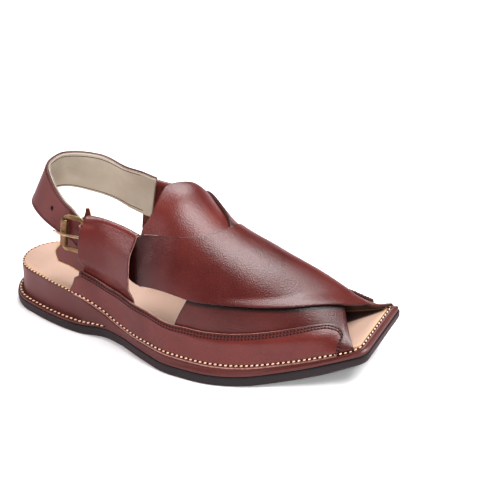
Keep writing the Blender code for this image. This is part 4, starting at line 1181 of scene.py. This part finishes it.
def chape_middle(u, v):
    """The chape's middle: u runs from inside the loop out, round the bar and back, v up."""
    up, s = CHAPE_HALF_HEIGHT * (2.0 * v - 1.0), part_way(CHAPE_S, v)
    fold = WIRE / 2.0 + GAP + CHAPE_THICK / 2.0
    stations = [on_last(103.0, -s, CHAPE_OFF), on_last(96.5, -s, CHAPE_OFF), on_last(91.5, -s, CHAPE_OFF + 0.9),
                buckle_point(FRAME_LENGTH + 3.8, fold - 0.9, up)]
    for turn in [math.radians(degrees) for degrees in (75.0, 120.0, 165.0, 210.0, 255.0)]:
        stations.append(buckle_point(FRAME_LENGTH + fold * math.cos(turn), fold * math.sin(turn), up))
    stations.append(buckle_point(FRAME_LENGTH + 1.6, -fold, up))
    reached = u * (len(stations) - 1)
    rows = tuple((float(k), *point) for k, point in enumerate(stations))
    return Vector([through(rows, reached, axis) for axis in (1, 2, 3)])


def underlay_middle(u, v):
    """The underlay's middle: u runs forward, v up."""
    x = part_way((through(UNDERLAY_REAR, v), UNDERLAY_FRONT), u)
    return on_last(x, -part_way((UNDERLAY_FOOT, through(UNDERLAY_TOP, x)), v), UNDERLAY_OFF)


def strip_piece(name, rows, columns, middle, thick, materials, slot=None, back=0):
    """A thin strip of even thickness about a middle surface, with an optional slot."""
    bm = bmesh.new()
    _, net = mapped_grid(bm, rows, columns, middle)
    if slot:
        gone = [net[i, j] for i, j in net
                if slot[0] < i / rows < slot[1] and abs(j / columns - 0.5) < slot[2]]
        bmesh.ops.delete(bm, geom=gone, context="VERTS")
    bmesh.ops.recalc_face_normals(bm, faces=bm.faces)
    made = put(name, bm, *materials)
    wall = made.modifiers.new("thickness", "SOLIDIFY")
    wall.thickness, wall.offset, wall.use_even_offset = thick * MM, 0.0, True
    wall.material_offset, wall.material_offset_rim = back, len(materials) - 1
    worn = made.modifiers.new("worn_edge", "BEVEL")
    worn.width, worn.segments, worn.limit_method, worn.angle_limit = 0.25 * MM, 2, "ANGLE", math.radians(50.0)
    return made


raw_leather = fibrous("raw_tan_leather", (500.0, 5.0, 0.7), (
    (0.3, (0.50, 0.25, 0.16)), (0.7, (0.66, 0.37, 0.25))), 0.8, (0.35, 0.0003))
chape = strip_piece("chape_strip", 66, 18, chape_middle, CHAPE_THICK, (red_brown, cut_edge), CHAPE_SLOT)
underlay = strip_piece("underlay_strip", 20, 30, underlay_middle, UNDERLAY_THICK,
                       (red_brown, raw_leather, raw_leather), None, 1)
for piece, node, finish in ((chape, "buckle_chape", "red_brown_leather"),
                            (underlay, "buckle_underlay", "tan_leather")):
    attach(piece, "root")
    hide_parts(node)


# ------------------------------------------------------------------------------------------ stitching
# Thick cream thread holds the welt all round and the rand's foot at the heel; thin dark thread runs in
# twin rows along the panels' top edges and in single rows along both edges of the strap.
STITCHES = {
    # pitch, length, width and lift in mm, slant in degrees
    "welt": (3.5, 2.2, 1.30, 0.2, 18.0),
    "foot": (4.0, 2.4, 1.5, 0.3, 20.0),
    "panel": (2.3, 1.30, 1.15, 0.10, 10.0),
    "fray": (0.9, 0.9, 1.7, 0.45, 35.0),
    "strap": (2.2, 1.8, 0.65, 0.03, 8.0),
}
WELT_ON_RIM, WELT_ON_PANEL, WELT_AT_TOE = -0.75, 1.6, 2.3   # beside the insole's edge, the panel's, the rand's
WELT_OFF_RIM_FROM, WELT_ON_TOE_FROM = 66.0, {-1: 267.5, 1: 272.0}
FOOT_ROW_TO, FOOT_ROW_SHARE = 97.0, 0.44
PANEL_ROWS_INSIDE, PANEL_LENGTH = (1.5, 3.4), 200.0
STRAP_ROWS_AT, STRAP_ROWS_SPAN = (0.065, 0.93), (0.06, 0.94)
FRAY_OUT = Vector((0.0, -0.8, 0.6))
UPRIGHT = Vector((0.0, 0.0, 1.0))


def thread(name, dark, light):
    return fibrous(name, (1400.0, 2.0), ((0.3, dark), (0.7, light)), shine=0.2)


cream_thread = thread("cream_thread", (0.50, 0.29, 0.16), (0.84, 0.60, 0.42))
dark_thread = thread("dark_thread", (0.040, 0.011, 0.010), (0.080, 0.024, 0.020))
# Near-black beads between the stitches: painted shade of the needle holes.
needle_hole_shade = thread("needle_hole_shade", (0.006, 0.002, 0.002), (0.014, 0.004, 0.004))
frayed = thread("frayed_fibre", (0.40, 0.25, 0.10), (0.72, 0.52, 0.26))


def sewn_row(name, line, kind, colours):
    """Stitches along a line of (point, outward direction); each is an oval half sunk in the leather."""
    pitch, length, width, lift, slant = STITCHES[kind]
    reached = [0.0]
    for (a, _), (b, _) in zip(line, line[1:]):
        reached.append(reached[-1] + (b - a).length)
    count = max(1, round(reached[-1] / pitch))
    bm, bead_shape = bmesh.new(), bmesh.new()
    bmesh.ops.create_uvsphere(bead_shape, u_segments=6, v_segments=4, radius=1.0)
    bead_mesh = bpy.data.meshes.new(name + "_bead")

    def spot(distance):
        distance = min(max(distance, 0.0), reached[-1] - 1e-6)
        k = max(n for n in range(len(line) - 1) if reached[n] <= distance)
        t = (distance - reached[k]) / max(1e-9, reached[k + 1] - reached[k])
        along = (line[k + 1][0] - line[k][0]).normalized()
        out = line[k][1].lerp(line[k + 1][1], t)
        out = (out - along * out.dot(along)).normalized()
        return line[k][0].lerp(line[k + 1][0], t), along, out

    def bead(point, along, out, sizes, material_index, turn):
        axes = Matrix((out.cross(along), out, along)).transposed().to_4x4()
        matrix = (Matrix.Translation(at(point)) @ axes @ Matrix.Rotation(turn, 4, "Y")
                  @ Matrix.Diagonal((*[size * MM / 2.0 for size in sizes], 1.0)))
        one = bead_shape.copy()
        for face in one.faces:
            face.material_index = material_index
        bmesh.ops.transform(one, matrix=matrix, verts=one.verts)
        one.to_mesh(bead_mesh)
        one.free()
        bm.from_mesh(bead_mesh)

    step = reached[-1] / count
    for n in range(count):
        point, along, out = spot((n + 0.5) * step)
        bead(point + out * lift, along, out, (width, width * 0.8, length), 0, math.radians(slant))
        # Between each two stitches a flat bead of the second colour; on the rows of thread it is the painted
        # shade of the needle hole.
        point, along, out = spot((n + 1.0) * step)
        bead(point, along, out, (width * 1.3, width * 0.5, pitch - length + 0.7), 1, 0.0)
    bead_shape.free()
    bpy.data.meshes.remove(bead_mesh)
    row = put(name, bm, *colours, smooth_to=80.0)
    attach(row, "root")


def on_panel(side, u, v):
    """A point of a panel's grain face, and the direction that faces out of it there."""
    lay = panel_sheet(side, PANEL_THICK)
    along = lay(min(1.0, u + 0.004), v) - lay(max(0.0, u - 0.004), v)
    down = lay(u, min(1.0, v + 0.01)) - lay(u, max(0.0, v - 0.01))
    return lay(u, v), along.cross(down).normalized() * side


def measured_v(side, u, inside, start, end):
    """v at which the panel lies a distance inside one of its long edges, searched from v start to end."""
    lay = panel_sheet(side, PANEL_THICK)
    edge, low, high = lay(u, start), start, end
    for _ in range(14):
        v = (low + high) / 2.0
        low, high = (v, high) if (lay(u, v) - edge).length < inside else (low, v)
    return low


def welt_line():
    """The welt row: on the rim round heel and toe, and on the pressed edge of the panels between."""
    heel_ring = sole_ring(lambda x: sole(x, "insole_in") + WELT_ON_RIM, 2.0)
    toe_ring = sole_ring(lambda x: sole(x, "rand_in") + WELT_AT_TOE, 2.0)

    def on_rim(points, start=-math.inf, to=math.inf):
        return [(Vector((p.x, p.y, rim(p.x) + 0.1)), UPRIGHT) for p in points if start < p.x < to]

    def on_edge(side):
        return [on_panel(side, u, measured_v(side, u, WELT_ON_PANEL, 1.0, PANEL_KNEE))
                for u in [part_way((0.008, 0.992), n / 130.0) for n in range(131)]]
    centre = SOLE_ACROSS // 2
    line = on_rim(heel_ring[3][centre::-1] + heel_ring[0][1:], to=WELT_OFF_RIM_FROM) + on_edge(-1)
    line += on_rim(toe_ring[0], WELT_ON_TOE_FROM[-1]) + on_rim(toe_ring[1][1:-1])
    line += on_rim(toe_ring[2][::-1], WELT_ON_TOE_FROM[1]) + on_edge(1)[::-1]
    line += on_rim(heel_ring[2][:0:-1] + heel_ring[3][:centre - 1:-1], to=WELT_OFF_RIM_FROM)
    for _ in range(3):   # evens out the places where one stretch meets the next
        line[1:-1] = [(a[0] * 0.25 + b[0] * 0.5 + c[0] * 0.25, b[1])
                      for a, b, c in zip(line, line[1:], line[2:])]
    return line


def foot_line():
    """The row in the groove of the rand's foot, round the heel."""
    lateral, _, medial, heel = sole_ring(lambda x: 0.9 + flange(x) * FOOT_ROW_SHARE, 2.0)
    return [(Vector((p.x, p.y, rand_seat(p.x) + FLANGE_THICK + groove(p.x) * 0.5)), UPRIGHT)
            for p in medial[::-1] + heel[-2:0:-1] + lateral if p.x < FOOT_ROW_TO]


def panel_line(side, inside):
    """A row kept inside the panel's top edge and its front edge, down to the welt."""
    end = 1.0 - inside / PANEL_LENGTH
    marks = [(u, measured_v(side, u, inside, 0.0, PANEL_KNEE))
             for u in [part_way((0.004, end), n / 90.0) for n in range(91)]]
    down = marks[-1][1], 0.90
    marks += [(end, part_way(down, n / 14.0)) for n in range(1, 15)]
    return [on_panel(side, u, v) for u, v in marks]


sewn_row("welt_thread", welt_line(), "welt", (cream_thread, needle_hole_shade))
sewn_row("rand_foot_thread", foot_line(), "foot", (cream_thread, needle_hole_shade))
for side, name in SIDES:
    for number, inside in enumerate(PANEL_ROWS_INSIDE):
        sewn_row(f"panel_thread_{name}_{number + 1}", panel_line(side, inside), "panel",
                 (dark_thread, needle_hole_shade))

edge = [underlay_middle(0.0, 0.85 - 0.85 * n / 40.0) for n in range(41)]
edge += [underlay_middle(0.03 * n, 0.0) for n in range(1, 18)]
sewn_row("underlay_fray", [(point, FRAY_OUT) for point in edge], "fray", (frayed, cream_thread))

for number, v in enumerate(STRAP_ROWS_AT):
    for name, off in (("outer", STRAP_FACE), ("inner", -STRAP_FACE)):
        spots = [part_way(STRAP_ROWS_SPAN, n / 120.0) for n in range(121)]
        line = [(strap_point(u, v, off), (strap_point(u, v, off) - strap_point(u, v, 0.0)).normalized())
                for u in spots]
        sewn_row(f"strap_thread_{name}_{number + 1}", line, "strap",
                 (dark_thread, needle_hole_shade))
